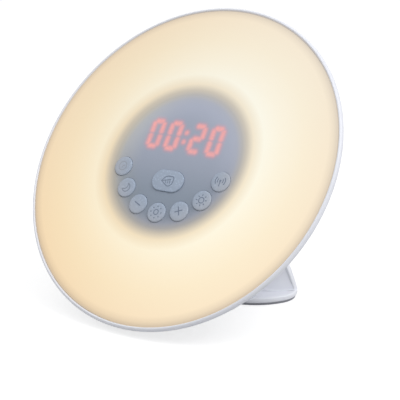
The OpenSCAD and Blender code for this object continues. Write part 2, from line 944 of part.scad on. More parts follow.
// Upright block with a round front, up to the back plate, within the plate's sides drawn in by an inset
module column_block(inset, overlap) {
  intersection() {
    translate([0, web_y, 0])
      cylinder(h = 80, r = web_r - inset, $fn = 180);
    on_stand_back()
      translate([0, 0, -60])
        linear_extrude(60 - plate_t + overlap)
          plate_outline(plate_lip + inset);
  }
}

// Hollow column between the pod and the foot, in one piece with its back plate
module stand_column() {
  color(white)
    difference() {
      intersection() {
        union() {
          column_block(0, 1);
          on_stand_back()
            translate([0, 0, -plate_t])
              linear_extrude(plate_t)
                plate_outline(0);
        }
        behind_pod(0);
        translate([-100, -100, foot_top])
          cube([200, 200, 100]);
      }
      difference() {
        intersection() {
          column_block(stand_wall, 0);
          behind_pod(roof_t);
        }
        for (spot = stand_screw_spots)
          in_head()
            boss(spot[0], spot[1], -pod_depth - 8, -pod_depth, 2.8);
        for (spot = base_screw_spots)
          boss(spot[0], spot[1], foot_top, foot_top + 8, 2.6);
      }
      for (spot = stand_screw_spots)
        in_head()
          pilot(spot[0], spot[1], -pod_depth, 6.5);
      for (spot = base_screw_spots)
        translate([spot[0], spot[1], foot_top - 1])
          cylinder(h = 7, r = screw_r, $fn = 32);
      in_head()
        translate([0, lead_hole_y, -pod_depth - roof_t - 3])
          cylinder(h = 6, r = lead_hole_r, $fn = 48);
      on_stand_back()
        door_hole();
    }
}

// The hole for the coin-cell door: a seat, a lip and two notches for the door's lugs
module door_hole() {
  translate([0, cell_rise, 0]) {
    translate([0, 0, -door_t - 0.1])
      cylinder(h = 5, r = door_r + door_gap);
    translate([0, 0, -plate_t - 1])
      cylinder(h = 5, r = lip_r + door_gap);
    rotate([0, 0, lug_turn])
      translate([-door_r, -lug_w / 2 - door_gap, -plate_t - 1])
        cube([2 * door_r, lug_w + 2 * door_gap, 5]);
  }
}

// Foot plate with stepped edges and a lip in front of the back plate, held to the column from below
module stand_base() {
  edge = 0.5;
  lip_w = 1.5;
  lip_rear = plate_back - plate_t / cos(stand_lean) - 0.3;
  height = foot_t + foot_lip_h;
  color(white)
    difference() {
      union() {
        translate([0, 0, pad_t])
          linear_extrude(height)
            foot_outline(edge);
        translate([0, 0, pad_t + edge])
          linear_extrude(height - 2 * edge)
            foot_outline(0);
      }
      translate([0, 0, foot_top])
        linear_extrude(2) {
          foot_outline(lip_w);
          translate([-60, lip_rear])
            square([120, 30]);
        }
      for (spot = base_screw_spots)
        translate([spot[0], spot[1], 0]) {
          cylinder(h = 10, r = screw_r + 0.15, $fn = 32);
          cylinder(h = pad_t + screw_head_t + 0.2, r = screw_head_r + 0.2, $fn = 32);
        }
    }
}

// Rubber pad under the whole foot plate
module foot_pad() {
  color(rubber_grey)
    linear_extrude(pad_t)
      foot_outline(0.9);
}

// Four screws from inside the pod into the column's bosses
module stand_screws() {
  color(steel)
    in_head()
      for (spot = stand_screw_spots)
        translate([spot[0], spot[1], pod_in])
          screw(8);
}

// Four screws from under the foot plate into the column, behind the pad
module base_screws() {
  color(steel)
    for (spot = base_screw_spots)
      translate([spot[0], spot[1], pad_t + screw_head_t + 0.2])
        mirror([0, 0, 1])
          screw(6.5);
}

// Cup behind the door that holds the coin cell
module cell_holder() {
  color(black)
    on_stand_back()
      translate([0, cell_rise, 0])
        difference() {
          union() {
            translate([0, 0, -holder_depth - 1.2])
              cylinder(h = holder_depth + 1.2 - plate_t, r = holder_r);
            translate([0, 0, holder_floor_z - 1])
              cylinder(h = -holder_floor_z - plate_t, r = cup_r);
          }
          translate([0, 0, -holder_depth])
            cylinder(h = holder_depth, r = door_r + door_gap + 0.1);
          translate([0, 0, holder_floor_z])
            cylinder(h = -holder_floor_z, r = cell_r + 0.2);
        }
}

// Spring strip with two bumps under the coin cell
module cell_contacts() {
  color(brass)
    on_stand_back()
      translate([0, cell_rise, holder_floor_z]) {
        translate([-8, -1.5, 0])
          cube([16, 3, 0.3]);
        for (side = [-1, 1])
          translate([side * 5, 0, 0])
            cylinder(h = 0.7, r = 1.2, $fn = 32);
      }
}

// Coin cell with its stepped rim
module coin_cell() {
  rim_step = 0.6;
  color(steel)
    on_stand_back()
      translate([0, cell_rise, -holder_depth - cell_t]) {
        cylinder(h = cell_t - rim_step, r = cell_r - 0.5);
        translate([0, 0, rim_step])
          cylinder(h = cell_t - rim_step, r = cell_r);
      }
}

// Round door with a coin slot and two lugs that turn behind the back plate
module cell_door() {
  color(white)
    on_stand_back()
      translate([0, cell_rise, 0])
        difference() {
          union() {
            translate([0, 0, -door_t])
              cylinder(h = door_t, r = door_r);
            translate([0, 0, -plate_t - lug_t])
              cylinder(h = plate_t + lug_t - door_t + eps, r = lip_r);
            translate([-door_r, -lug_w / 2, -plate_t - lug_t])
              cube([2 * door_r, lug_w, lug_t - 0.2]);
          }
          translate([-6, -0.9, -0.9])
            cube([12, 1.8, 2]);
        }
}

front_diffuser();
round_key(-3);  // alarm_key
round_key(-2);  // sound_key
round_key(-1);  // minus_key
round_key(0);  // colour_key
round_key(1);  // plus_key
round_key(2);  // lamp_key
round_key(3);  // radio_key
snooze_key();
plunger(key_xy(-3));  // alarm_key_plunger
plunger(key_xy(-2));  // sound_key_plunger
plunger(key_xy(-1));  // minus_key_plunger
plunger(key_xy(0));  // colour_key_plunger
plunger(key_xy(1));  // plus_key_plunger
plunger(key_xy(2));  // lamp_key_plunger
plunger(key_xy(3));  // radio_key_plunger
plunger([0, -snooze_drop]);  // snooze_key_plunger
key_switches();
light_barrel();
light_seal();
display_board();
digit_display();
digit_bars();
barrel_screws();
board_screws();
led_ring_board();
ring_leds();
reflector();
rear_housing();
main_board();
processor_chip();
radio_chip();
amplifier_chip();
capacitors();
clock_crystal();
lead_headers();
inlet_board();
usb_socket();
antenna_grommet();
speaker_frame();
speaker_cone();
speaker_magnet();
speaker_gasket();
speaker_screws();
display_ribbon();
ring_leads();
speaker_leads();
inlet_leads();
cell_leads();
stand_column();
stand_base();
foot_pad();
stand_screws();
base_screws();
cell_holder();
cell_contacts();
coin_cell();
cell_door();
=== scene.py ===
"""Sunrise alarm clock: the looks of its pieces, built round the packed frame."""

import json
import math

import bpy
from bpy.props import FloatProperty, FloatVectorProperty, IntProperty
from bpy.props import PointerProperty, StringProperty
from mathutils import Matrix, Vector


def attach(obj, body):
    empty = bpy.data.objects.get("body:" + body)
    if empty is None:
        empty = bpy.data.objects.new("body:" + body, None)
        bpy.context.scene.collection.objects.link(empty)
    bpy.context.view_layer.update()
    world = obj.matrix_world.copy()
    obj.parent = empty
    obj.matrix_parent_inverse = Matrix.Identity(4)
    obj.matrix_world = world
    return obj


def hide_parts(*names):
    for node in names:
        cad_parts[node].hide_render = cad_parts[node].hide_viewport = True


bl_info = {
    "name": "Sunrise alarm clock",
    "version": (1, 0, 0),
    "blender": (4, 5, 0),
    "location": "3D View > Sidebar > Clock",
    "description": "Builds the pieces and finishes of a bedside sunrise alarm clock",
    "category": "Object",
}

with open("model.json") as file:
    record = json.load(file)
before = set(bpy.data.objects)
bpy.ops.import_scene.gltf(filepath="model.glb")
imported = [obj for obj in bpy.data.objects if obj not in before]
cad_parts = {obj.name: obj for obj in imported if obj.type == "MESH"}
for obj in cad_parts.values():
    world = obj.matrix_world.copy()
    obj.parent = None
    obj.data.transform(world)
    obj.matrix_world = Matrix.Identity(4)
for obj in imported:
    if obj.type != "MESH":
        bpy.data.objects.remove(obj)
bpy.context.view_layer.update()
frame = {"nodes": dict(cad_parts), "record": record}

MM = 0.001
UP = Vector((0, 0, 1))
TURN = 2 * math.pi
BLACK = (0, 0, 0, 1)
WHITE = (1, 1, 1, 1)

# Head: heights are along the face's normal, from the edge of the dome
LEAN = math.radians(37)
HEAD_R = 84.0
FLAT_R = HEAD_R - 8
SKIRT_R = HEAD_R - 2.1
FACE_CROWN = 0.6
FACE_T = 2.0
EDGE_DROP = 1.0
SKIRT_Z = -2.6
RIM_GAP = 3.0
HEAD_Y = -25.0
HEAD_Z = (HEAD_R - 0.5) * math.cos(LEAN) + 3.2 * math.sin(LEAN) + RIM_GAP
POD_R = 45.8
POD_BACK = -40.0
WALL = 2.2
POD_IN = POD_BACK + WALL

# Pod: places in the head's plane, measured from its middle
SPEAKER_Y = 16.0
SOUND_HOLE_R = 1.0
SOUND_HOLE_STEP = 4.2
STAND_SCREWS = ((-23, -13), (-12, -16), (12, -16), (23, -13))
LEAD_HOLE = (0, -16, 3.0)
GROMMET_HOLE = (-33, 8, 2.6)
INLET_SLOT = ((40, -4.2, -29.3), (50, 4.2, -26))
BARREL_POSTS_R = 40.2
RING_POSTS_R = 50.0
SPEAKER_POSTS_R = 21.9
MAIN_POST_X = 26.5
INLET_POST_X = 33.5
POST_BORE = 1.0

# Keys
KEY_R = 5.0
KEY_ARC_R = 30.3
KEY_ARC_RISE = 3.1
KEY_STEP = math.radians(23.4)
KEY_PROUD = 0.6
KEY_GAP = 0.14
KEY_FLANGE = 0.7
KEY_FLANGE_T = 0.8
FLANGE_DROP = 0.4
STEM_R = 2.2
STEM_LOW = -3.2
CAP_RISE = 0.08
SNOOZE_DROP = 11.0
SNOOZE_R = 5.4
SNOOZE_HALF = 3.5
SNOOZE_RISE = 0.12
KEY_NAMES = ("alarm", "sound", "minus", "colour", "plus", "lamp", "radio")

# Display
DISPLAY_RISE = 12.4
DIGIT_XS = (-17.35, -6.85, 6.85, 17.35)

# The lamps' pattern and the digits lie inside the opal, and show a little off their place
RING_SHIFT = Vector((0.25, 0.05, 0))
DIGIT_SHIFT = Vector((0.5, DISPLAY_RISE - 0.3, 0))
DOT_YS = (-2.4, 2.4)
DOT_SLIMMING = 0.15

# How much of the face the digits' light covers at their bars and round them
BAR_SHARE = 0.92
BAR_GLOW = 0.6
HALO_SHARE = 0.36
HALO_REACH = (0.6 * MM, 3.4 * MM)

# Colour of the lit ring by distance from its middle, in mm
RING_LIGHT = (
    (32, (167, 172, 184)), (34.8, (178, 177, 176)), (37.1, (206, 198, 184)),
    (40.6, (245, 233, 208)), (46, (255, 250, 231)), (54, (254, 245, 222)), (66, (252, 239, 212)),
    (77.5, (250, 234, 207)), (80, (238, 222, 197)), (82, (216, 202, 182)),
)

# Stand
STAND_LEAN = math.radians(14)
PAD_T = 1.2
FOOT_T = 2.3
FOOT_LIP = 0.5
FOOT_TOP = PAD_T + FOOT_T
PLATE_BACK = 13.3
PLATE_T = 3.0
PLATE_LIP = 1.0
PLATE_W = 44.4
WEB_R = 66.0
WEB_Y = 59.5
WEB_FILLET = 0.9
STAND_WALL = 2.2
ROOF_T = 2.6
CELL_RISE = 15.0
DOOR_R = 12.0
DOOR_T = 1.6
DOOR_LIP_R = 11.0
DOOR_GAP = 0.3
LUG_T = 1.2
LUG_W = 5.0

# Stage: the floor's grey as light bounces off it, and as it is seen with a glow of its own
FLOOR_BOUNCE = (0.50, 0.53)
FLOOR_SEEN = 0.45
FLOOR_GLOW = 0.70
CAMERA_SPOT = Vector((323.80, -461.99, 210.19)) * MM
CAMERA_RIGHT = Vector((0.8184, 0.5743, -0.0208))
CAMERA_UP = Vector((-0.1443, 0.2403, 0.9599))
SENSOR_W = 36
LAMP_AIM = Vector((0, -0.02, 0.07))

# Name, place, side in metres and share of the lamp's power
LAMPS = (
    ("side_lamp", (0.75, 0.0, 0.95), 0.6, 1.0),
    ("overhead_lamp", (-0.2, -0.5, 1.15), 1.1, 0.4),
)


def shift(x, y, z=0):
    """Matrix that moves by a distance in mm."""
    return Matrix.Translation((x * MM, y * MM, z * MM))


# Places of the long key, the face's plane and the back plate's outer side
SNOOZE_SPOT = shift(0, -SNOOZE_DROP)
HEAD = shift(0, HEAD_Y, HEAD_Z) @ Matrix.Rotation(math.pi / 2 - LEAN, 4, "X")
BACK = (
    shift(0, PLATE_BACK, FOOT_TOP)
    @ Matrix.Rotation(STAND_LEAN, 4, "X")
    @ Matrix.Rotation(math.pi, 4, "Z")
    @ Matrix.Rotation(math.pi / 2, 4, "X")
)


def face_z(r):
    """Height of the face at a distance from its middle, in mm."""
    return FACE_CROWN * (1 - (r / FLAT_R) ** 2)


def key_spot(i):
    """Middle of a round key, counted from the lowest one."""
    turn = i * KEY_STEP
    return KEY_ARC_R * math.sin(turn), KEY_ARC_RISE - KEY_ARC_R * math.cos(turn)


def srgb(r, g, b):
    """Linear colour of red, green and blue from 0 to 255."""
    linear = []
    for value in (r, g, b):
        c = value / 255
        linear.append(c / 12.92 if c <= 0.04045 else ((c + 0.055) / 1.055) ** 2.4)
    return (*linear, 1.0)


def grey(level):
    """Colour with three equal parts."""
    return (level, level, level, 1)


def tone(colour, factor):
    """A colour made lighter or darker."""
    return (*(min(1.0, c * factor) for c in colour[:3]), 1.0)


# ---- modelling


def deselect():
    """Leaves nothing selected and the scene in object mode."""
    if bpy.context.mode != "OBJECT":
        bpy.ops.object.mode_set(mode="OBJECT")
    bpy.ops.object.select_all(action="DESELECT")


def pick(*objects):
    """Selects these objects only, and makes the first one active."""
    deselect()
    for obj in objects:
        obj.select_set(True)
    bpy.context.view_layer.objects.active = objects[0]


def named(name):
    """Names the active object and its mesh."""
    obj = bpy.context.object
    obj.name = obj.data.name = name
    return obj


def edit(obj):
    """Opens an object's mesh in edit mode with all of it selected."""
    pick(obj)
    bpy.ops.object.mode_set(mode="EDIT")
    select_mesh()


def select_mesh():
    """Selects all of the mesh in edit mode."""
    bpy.ops.mesh.select_all(action="SELECT")


def close_mesh():
    """Turns every face of the mesh in edit mode outwards, and leaves edit mode."""
    select_mesh()
    bpy.ops.mesh.normals_make_consistent(inside=False)
    deselect()


def draw_up(height):
    """Makes the selected faces a closed solid of a height in mm."""
    bpy.ops.mesh.extrude_region_move(TRANSFORM_OT_translate={"value": UP * height * MM})
    close_mesh()


def chain(name, points, closed=False):
    """A chain of edges through points in mm, drawn by extruding one vertex."""
    deselect()
    bpy.ops.mesh.primitive_plane_add(size=MM)
    obj = named(name)
    edit(obj)
    bpy.ops.mesh.merge(type="CENTER")
    corners = [Vector(p) * MM for p in points]
    bpy.ops.transform.translate(value=corners[0])
    for here, there in zip(corners, corners[1:]):
        bpy.ops.mesh.extrude_vertices_move(TRANSFORM_OT_translate={"value": there - here})
    select_mesh()
    if closed:
        bpy.ops.mesh.remove_doubles(threshold=1e-6)
    return obj


def lathe(name, profile, steps, closed=False):
    """A solid of revolution about z through (radius, height) points in mm."""
    points = [(r, 0, z) for r, z in profile]
    if closed:
        points.append(points[0])
    obj = chain(name, points, closed)
    select_mesh()
    bpy.ops.mesh.spin(steps=steps, angle=TURN, center=(0, 0, 0), axis=UP)
    select_mesh()
    bpy.ops.mesh.remove_doubles(threshold=2e-6)
    close_mesh()
    return obj


def slab(name, outline, z0, z1):
    """An outline in mm, filled and extruded from one height to another."""
    obj = chain(name, [(x, y, z0) for x, y in outline])
    select_mesh()
    bpy.ops.mesh.edge_face_add()
    draw_up(z1 - z0)
    return obj


def rod(name, x, y, z0, z1, radius, sides=48):
    """A cylinder along z, in mm, for cutting holes."""
    deselect()
    sizes = {"vertices": sides, "radius": radius * MM, "depth": (z1 - z0) * MM}
    middle = (x * MM, y * MM, (z0 + z1) / 2 * MM)
    bpy.ops.mesh.primitive_cylinder_add(location=middle, **sizes)
    bpy.ops.object.transform_apply()
    return named(name)


def block(name, low, high):
    """A box between two corners in mm."""
    deselect()
    bpy.ops.mesh.primitive_cube_add(size=1)
    obj = named(name)
    low, high = Vector(low) * MM, Vector(high) * MM
    obj.scale = high - low
    obj.location = (low + high) / 2
    bpy.ops.object.transform_apply()
    return obj


def place(obj, matrix):
    """Moves an object's mesh into place and leaves the object at the origin."""
    pick(obj)
    obj.matrix_world = matrix @ obj.matrix_world
    bpy.ops.object.transform_apply()
    return obj


def join(name, objects):
    """Joins objects into one mesh."""
    pick(*objects)
    bpy.ops.object.join()
    return named(name)


def modify(obj, kind, **settings):
    """Applies a modifier of a kind to an object."""
    pick(obj)
    modifier = obj.modifiers.new(kind, kind)
    for key, value in settings.items():
        setattr(modifier, key, value)
    bpy.ops.object.modifier_apply(modifier=modifier.name)
    return obj


def cut(obj, tool, operation="DIFFERENCE"):
    """Applies a boolean and deletes its tool."""
    before = len(obj.data.polygons)
    modify(obj, "BOOLEAN", operation=operation, solver="EXACT", object=tool)
    if len(obj.data.polygons) in (0, before):
        raise RuntimeError(f"{operation} of {tool.name} left {obj.name} as it was")
    bpy.data.objects.remove(tool)
    return obj


def soften(obj, width, segments):
    """Rounds the edges that are sharper than 60 degrees by a width in mm."""
    limits = {"limit_method": "ANGLE", "angle_limit": math.radians(60)}
    return modify(obj, "BEVEL", width=width * MM, segments=segments, **limits)


def slice_off(obj, point, normal):
    """Cuts away what lies on the normal's side of a plane, and closes the cut."""
    edit(obj)
    bpy.ops.mesh.bisect(plane_co=point, plane_no=normal, use_fill=True, clear_outer=True)
    deselect()
    return obj


def smooth(obj, angle):
    """Smooth shading, with edges sharper than an angle kept."""
    pick(obj)
    bpy.ops.object.shade_smooth_by_angle(angle=math.radians(angle))
    return obj


def between(a, b, c, d, t):
    """A value from b to c on the smooth curve through four values."""
    slope = (c - a) * t
    bend = (2 * a - 5 * b + 4 * c - d) * t * t
    return 0.5 * (2 * b + slope + bend + (3 * b - a - 3 * c + d) * t**3)


def rounded(points, per):
    """A finer chain through the same (radius, height) points."""
    fine = []
    last = len(points) - 1
    for i in range(last):
        near = [points[min(max(i + k, 0), last)] for k in (-1, 0, 1, 2)]
        for k in range(per):
            fine.append([between(*values, k / per) for values in zip(*near)])
    fine.append(points[-1])
    return [(min(r, HEAD_R), z) for r, z in fine]


def spot_at(angle, radius, cx=0.0, cy=0.0):
    """Point at an angle in degrees and a distance from a middle."""
    a = math.radians(angle)
    return cx + radius * math.cos(a), cy + radius * math.sin(a)


def arc(cx, cy, radius, start, end, n):
    """Points along an arc, angles in degrees."""
    return [spot_at(start + (end - start) * i / n, radius, cx, cy) for i in range(n + 1)]


def hand_over(obj, body, material, nodes=()):
    """Gives a finished piece its finish, its body and the nodes that it stands for."""
    obj.data.materials.clear()
    obj.data.materials.append(material)
    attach(obj, body)
    if nodes:
        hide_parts(*nodes)
    return obj


# ---- node trees


def fill(tree, target, inputs):
    """Links sockets to a node's own inputs, and sets plain values on them."""
    for key, value in inputs.items():
        if isinstance(value, bpy.types.NodeSocket):
            tree.links.new(value, target.inputs[key])
        else:
            target.inputs[key].default_value = value


def node(tree, kind, inputs, **settings):
    """Adds a node, sets it up and fills its inputs."""
    new = tree.nodes.new(kind)
    for key, value in settings.items():
        setattr(new, key, value)
    fill(tree, new, inputs)
    return new


def texture(tree, kind, where, scale, **more):
    """Outputs of a texture node of a kind at a scale."""
    more = {key.replace("_", " "): value for key, value in more.items()}
    return node(tree, f"ShaderNodeTex{kind}", {"Vector": where, "Scale": scale, **more}).outputs


def calc(tree, operation, a, b, clamp=False):
    """Output of a math node."""
    inputs = {0: a, 1: b}
    return node(tree, "ShaderNodeMath", inputs, operation=operation, use_clamp=clamp).outputs[0]


def vector_calc(tree, operation, a, b=(0, 0, 0)):
    """Vector output of a vector math node."""
    new = node(tree, "ShaderNodeVectorMath", {0: a, 1: b}, operation=operation)
    return new.outputs["Value"] if operation == "LENGTH" else new.outputs["Vector"]


def fade(tree, value, from_min, from_max, to_min=0.0, to_max=1.0, kind="SMOOTHSTEP"):
    """Output of a map range node."""
    inputs = {"Value": value, "From Min": from_min, "From Max": from_max}
    inputs |= {"To Min": to_min, "To Max": to_max}
    return node(tree, "ShaderNodeMapRange", inputs, interpolation_type=kind).outputs["Result"]


def mix(tree, factor, a, b, blend="MIX"):
    """Colour output of a mix node."""
    inputs = {0: factor, 6: a, 7: b}
    return node(tree, "ShaderNodeMix", inputs, data_type="RGBA", blend_type=blend).outputs[2]


def times(tree, a, b):
    """Product of two colours."""
    return mix(tree, 1.0, a, b, "MULTIPLY")


def ramp(tree, factor, stops):
    """Colour output of a ramp through (position, colour) stops."""
    new = node(tree, "ShaderNodeValToRGB", {0: factor})
    elements = new.color_ramp.elements
    while len(elements) < len(stops):
        elements.new(0.5)
    for element, (position, colour) in zip(elements, stops):
        element.position = position
        element.color = colour
    return new.outputs["Color"]


def group(name, vectors, numbers, results):
    """A new shader node group, the outputs of its first node, and its last node."""
    tree = bpy.data.node_groups.new(name, "ShaderNodeTree")
    add = tree.interface.new_socket
    for label in vectors:
        add(label, in_out="INPUT", socket_type="NodeSocketVector")
    for label, default in numbers.items():
        add(label, in_out="INPUT", socket_type="NodeSocketFloat").default_value = default
    for label in results:
        add(label, in_out="OUTPUT", socket_type="NodeSocketFloat")
    return tree, tree.nodes.new("NodeGroupInput").outputs, tree.nodes.new("NodeGroupOutput")


def moulded_grain():
    """Fine moulded grain: a roughness, a height and a faint mottle."""
    name = "moulded_grain"
    if name in bpy.data.node_groups:
        return bpy.data.node_groups[name]
    numbers = {"Grain Size": 0.4 * MM, "Roughness": 0.45, "Spread": 0.1}
    tree, given, out = group(name, ["Position"], numbers, ["Roughness", "Height", "Mottle"])
    density = calc(tree, "DIVIDE", 1.0, given["Grain Size"])
    fine = texture(tree, "Noise", given["Position"], density, Detail=3.0, Roughness=0.6)["Fac"]
    broad = texture(tree, "Noise", given["Position"], 38.0, Detail=2.0)["Fac"]
    swing = calc(tree, "MULTIPLY", calc(tree, "SUBTRACT", broad, 0.5), given["Spread"])
    rough = calc(tree, "ADD", given["Roughness"], swing, clamp=True)
    fill(tree, out, {"Roughness": rough, "Height": fine, "Mottle": broad})
    return tree


def bar_distance():
    """Distance from a rounded bar's core, for a point in the face's plane."""
    name = "bar_distance"
    if name in bpy.data.node_groups:
        return bpy.data.node_groups[name]
    tree, given, out = group(name, ["Position", "Middle", "Half Size"], {}, ["Distance"])
    offset = vector_calc(tree, "SUBTRACT", given["Position"], given["Middle"])
    offset = vector_calc(tree, "ABSOLUTE", offset)
    beyond = vector_calc(tree, "SUBTRACT", offset, given["Half Size"])
    beyond = vector_calc(tree, "MAXIMUM", beyond, (0, 0, 0))
    fill(tree, out, {"Distance": vector_calc(tree, "LENGTH", beyond)})
    return tree


def use_group(tree, source, inputs):
    """Outputs of a node group placed in a tree."""
    return node(tree, "ShaderNodeGroup", inputs, node_tree=source).outputs


def use_grain(tree, where, size, rough, spread):
    """Outputs of the moulded grain, with its size in mm."""
    inputs = {"Position": where, "Grain Size": size * MM, "Roughness": rough, "Spread": spread}
    return use_group(tree, moulded_grain(), inputs)


def new_material(name):
    """An empty material with its tree, Principled shader and object coordinates."""
    material = bpy.data.materials.new(name)
    material.use_nodes = True
    tree = material.node_tree
    shader = tree.nodes["Principled BSDF"]
    where = tree.nodes.new("ShaderNodeTexCoord").outputs["Object"]
    return material, tree, shader, where


def dress(made, colour, rough, relief, plain):
    """Gives a new material its colour, roughness, relief (height, depth in mm) and plain values."""
    material, tree, shader, _ = made
    fill(tree, shader, {"Base Color": colour, "Roughness": rough, **plain})
    if relief:
        inputs = {"Height": relief[0], "Distance": relief[1] * MM, "Strength": 1.0}
        fill(tree, shader, {"Normal": node(tree, "ShaderNodeBump", inputs).outputs["Normal"]})
    return material


def plastic(name, colour, rough=0.45, grain=0.4, depth=0.02, mottle=0.04, specular=0.5, coat=0.0):
    """Moulded plastic with fine grain and a faint mottle."""
    made = _, tree, _, where = new_material(name)
    grains = use_grain(tree, where, grain, rough, 0.12)
    base = mix(tree, grains["Mottle"], tone(colour, 1 - mottle), tone(colour, 1 + mottle))
    plain = {"Specular IOR Level": specular, "Coat Weight": coat}
    return dress(made, base, grains["Roughness"], (grains["Height"], depth), plain)


def metal(name, colour, rough):
    """Plated metal with fine drawn lines."""
    made = _, tree, _, where = new_material(name)
    squeezed = node(tree, "ShaderNodeMapping", {"Vector": where, "Scale": (1, 1, 12)}).outputs[0]
    grains = use_grain(tree, squeezed, 0.5, rough, 0.25)
    base = mix(tree, grains["Mottle"], tone(colour, 0.82), colour)
    return dress(made, base, grains["Roughness"], (grains["Height"], 0.006), {"Metallic": 1.0})


def circuit_board(name, colour, track):
    """Lacquered board with tracks and tinned pads in the head's own plane."""
    made = _, tree, _, where = new_material(name)
    plane = head_coordinates(tree, where)
    lines = texture(tree, "Brick", plane, 260.0, Mortar_Size=0.035, Mortar_Smooth=0.2)["Fac"]
    pads = fade(tree, texture(tree, "Voronoi", plane, 380.0)["Distance"], 0.16, 0.22, 1.0, 0.0)
    base = mix(tree, pads, mix(tree, lines, colour, track), srgb(205, 205, 200))
    rough = fade(tree, pads, 0, 1, 0.42, 0.25)
    return dress(made, base, rough, (calc(tree, "ADD", lines, pads), 0.03), {})


def soft_sheet(name, colour, size, depth):
    """Foam or pulp with open pores of a size in mm."""
    made = _, tree, _, where = new_material(name)
    pores = texture(tree, "Voronoi", where, 1 / (size * MM))["Distance"]
    # Painted shade: the pores are darker, as shade inside them
    base = mix(tree, pores, tone(colour, 0.6), colour)
    return dress(made, base, fade(tree, pores, 0, 1, 0.8, 0.9), (pores, depth), {})


def head_coordinates(tree, where):
    """Position in the head's own frame: x right, y up the face, z out of it."""
    inputs = {"Vector": where, "Location": HEAD.translation, "Rotation": (math.pi / 2 - LEAN, 0, 0)}
    return node(tree, "ShaderNodeMapping", inputs, vector_type="TEXTURE").outputs[0]


# Lit bars of the digits from 0 to 9, by the bars' letters
BARS = ("abcdef", "bc", "abged", "abgcd", "fgbc", "afgcd", "afgedc", "abc", "abcdefg", "abcdfg")


def lit_bars(settings):
    """Middle and half size, in mm from the display's middle, of each lit bar."""
    height, width, bar = settings.height, settings.width, settings.bar
    side, rise = width / 2, height / 4
    upright = (0.0, rise - bar / 2 - 0.35)
    level = (side - bar / 2 - 0.3, 0.0)
    spots = {
        "a": (0, rise * 2, level),
        "b": (side, rise, upright),
        "c": (side, -rise, upright),
        "d": (0, -rise * 2, level),
        "e": (-side, -rise, upright),
        "f": (-side, rise, upright),
        "g": (0, 0, level),
    }
    found = []
    for x, digit in zip(DIGIT_XS, settings.shown.replace(":", "")):
        for bx, by, half in (spots[letter] for letter in BARS[int(digit)]):
            found.append(((x + bx, by), half))
    return found


# ---- settings


def colour_setting(name, description, default):
    """A colour of red, green and blue, set with a colour picker."""
    limits = {"min": 0, "max": 1, "subtype": "COLOR"}
    return FloatVectorProperty(name=name, description=description, default=default[:3], **limits)


def size_setting(name, description, default, low, high, **unit):
    """A number between two limits, with its unit or subtype."""
    limits = {"min": low, "max": high, **unit}
    return FloatProperty(name=name, description=description, default=default, **limits)


class CLOCK_PG_face(bpy.types.PropertyGroup):
    """Light of the opal face."""

    glow: size_setting(
        "Glow", "Share of its colour that the lit ring gives out", 0.72, 0, 1, subtype="FACTOR"
    )
    middle: colour_setting("Middle", "Colour of the unlit middle", srgb(163, 170, 187))
    # Painted shadow: the unlit middle is darker towards its lower end, where the keys' shadows fall
    low: colour_setting("Low", "Colour of the unlit middle at its lower end", srgb(138, 149, 164))
    # Painted shade: the tint that makes the ring darker and warmer on its left side, away from the
    # lamps at the right
    painted_light_tint: colour_setting(
        "Warm tint", "Tint of the ring's far side from the brightest lamps", (0.95, 0.88, 0.78)
    )


class CLOCK_PG_display(bpy.types.PropertyGroup):
    """Digits behind the opal face."""

    shown: StringProperty(name="Time", description="Time on the display", default="00:20")
    height: size_setting(
        "Digit height", "Between the middles of the top and bottom bars, in mm", 13.2, 11, 14
    )
    width: size_setting(
        "Digit width", "Between the middles of the upright bars, in mm", 5.4, 4.6, 6
    )
    bar: size_setting("Bar", "Width of a bar, in mm", 2.1, 1.4, 2.4)
    colour: colour_setting(
        "Digit colour", "A lit bar's colour through the face", srgb(250, 171, 167)
    )


class CLOCK_PG_keys(bpy.types.PropertyGroup):
    """Key caps and their signs."""

    colour: colour_setting("Key colour", "Colour of the key caps", srgb(160, 173, 192))
    # Painted light: the caps' tint where the ring's glow shines through them, also washed over the
    # signs of the left keys
    painted_light_tint: colour_setting(
        "Warm end", "Colour of the key caps where the ring shines through them", srgb(178, 180, 186)
    )
    ink: colour_setting("Sign colour", "Colour of the printed signs", srgb(106, 116, 134))
    stroke: size_setting("Stroke", "Width of a sign's strokes, in mm", 0.5, 0.3, 0.8)
    sides: IntProperty(name="Sides", description="Facets round a key", default=64, min=24, max=96)


class CLOCK_PG_shell(bpy.types.PropertyGroup):
    """Housing and stand."""

    colour: colour_setting(
        "Shell colour", "Colour of the moulded white pieces", srgb(230, 232, 240)
    )
    edge: size_setting("Edge radius", "Rounding of the foot's edges, in mm", 0.9, 0.3, 1.2)
    steps: IntProperty(
        name="Steps", description="Facets round the head", default=192, min=96, max=256
    )


class CLOCK_PG_stage(bpy.types.PropertyGroup):
    """Floor, light and camera."""

    floor: size_setting("Floor size", "Side of the floor", 8.0, 2, 20, unit="LENGTH")
    world: size_setting("World light", "Strength of the even light all round", 0.64, 0, 2)
    lamp: size_setting("Lamp", "Power of the soft lamp at the right", 5.5, 0, 60, unit="POWER")
    lens: size_setting("Lens", "Focal length of the camera, in mm", 106.2, 35, 200)


# ---- pieces


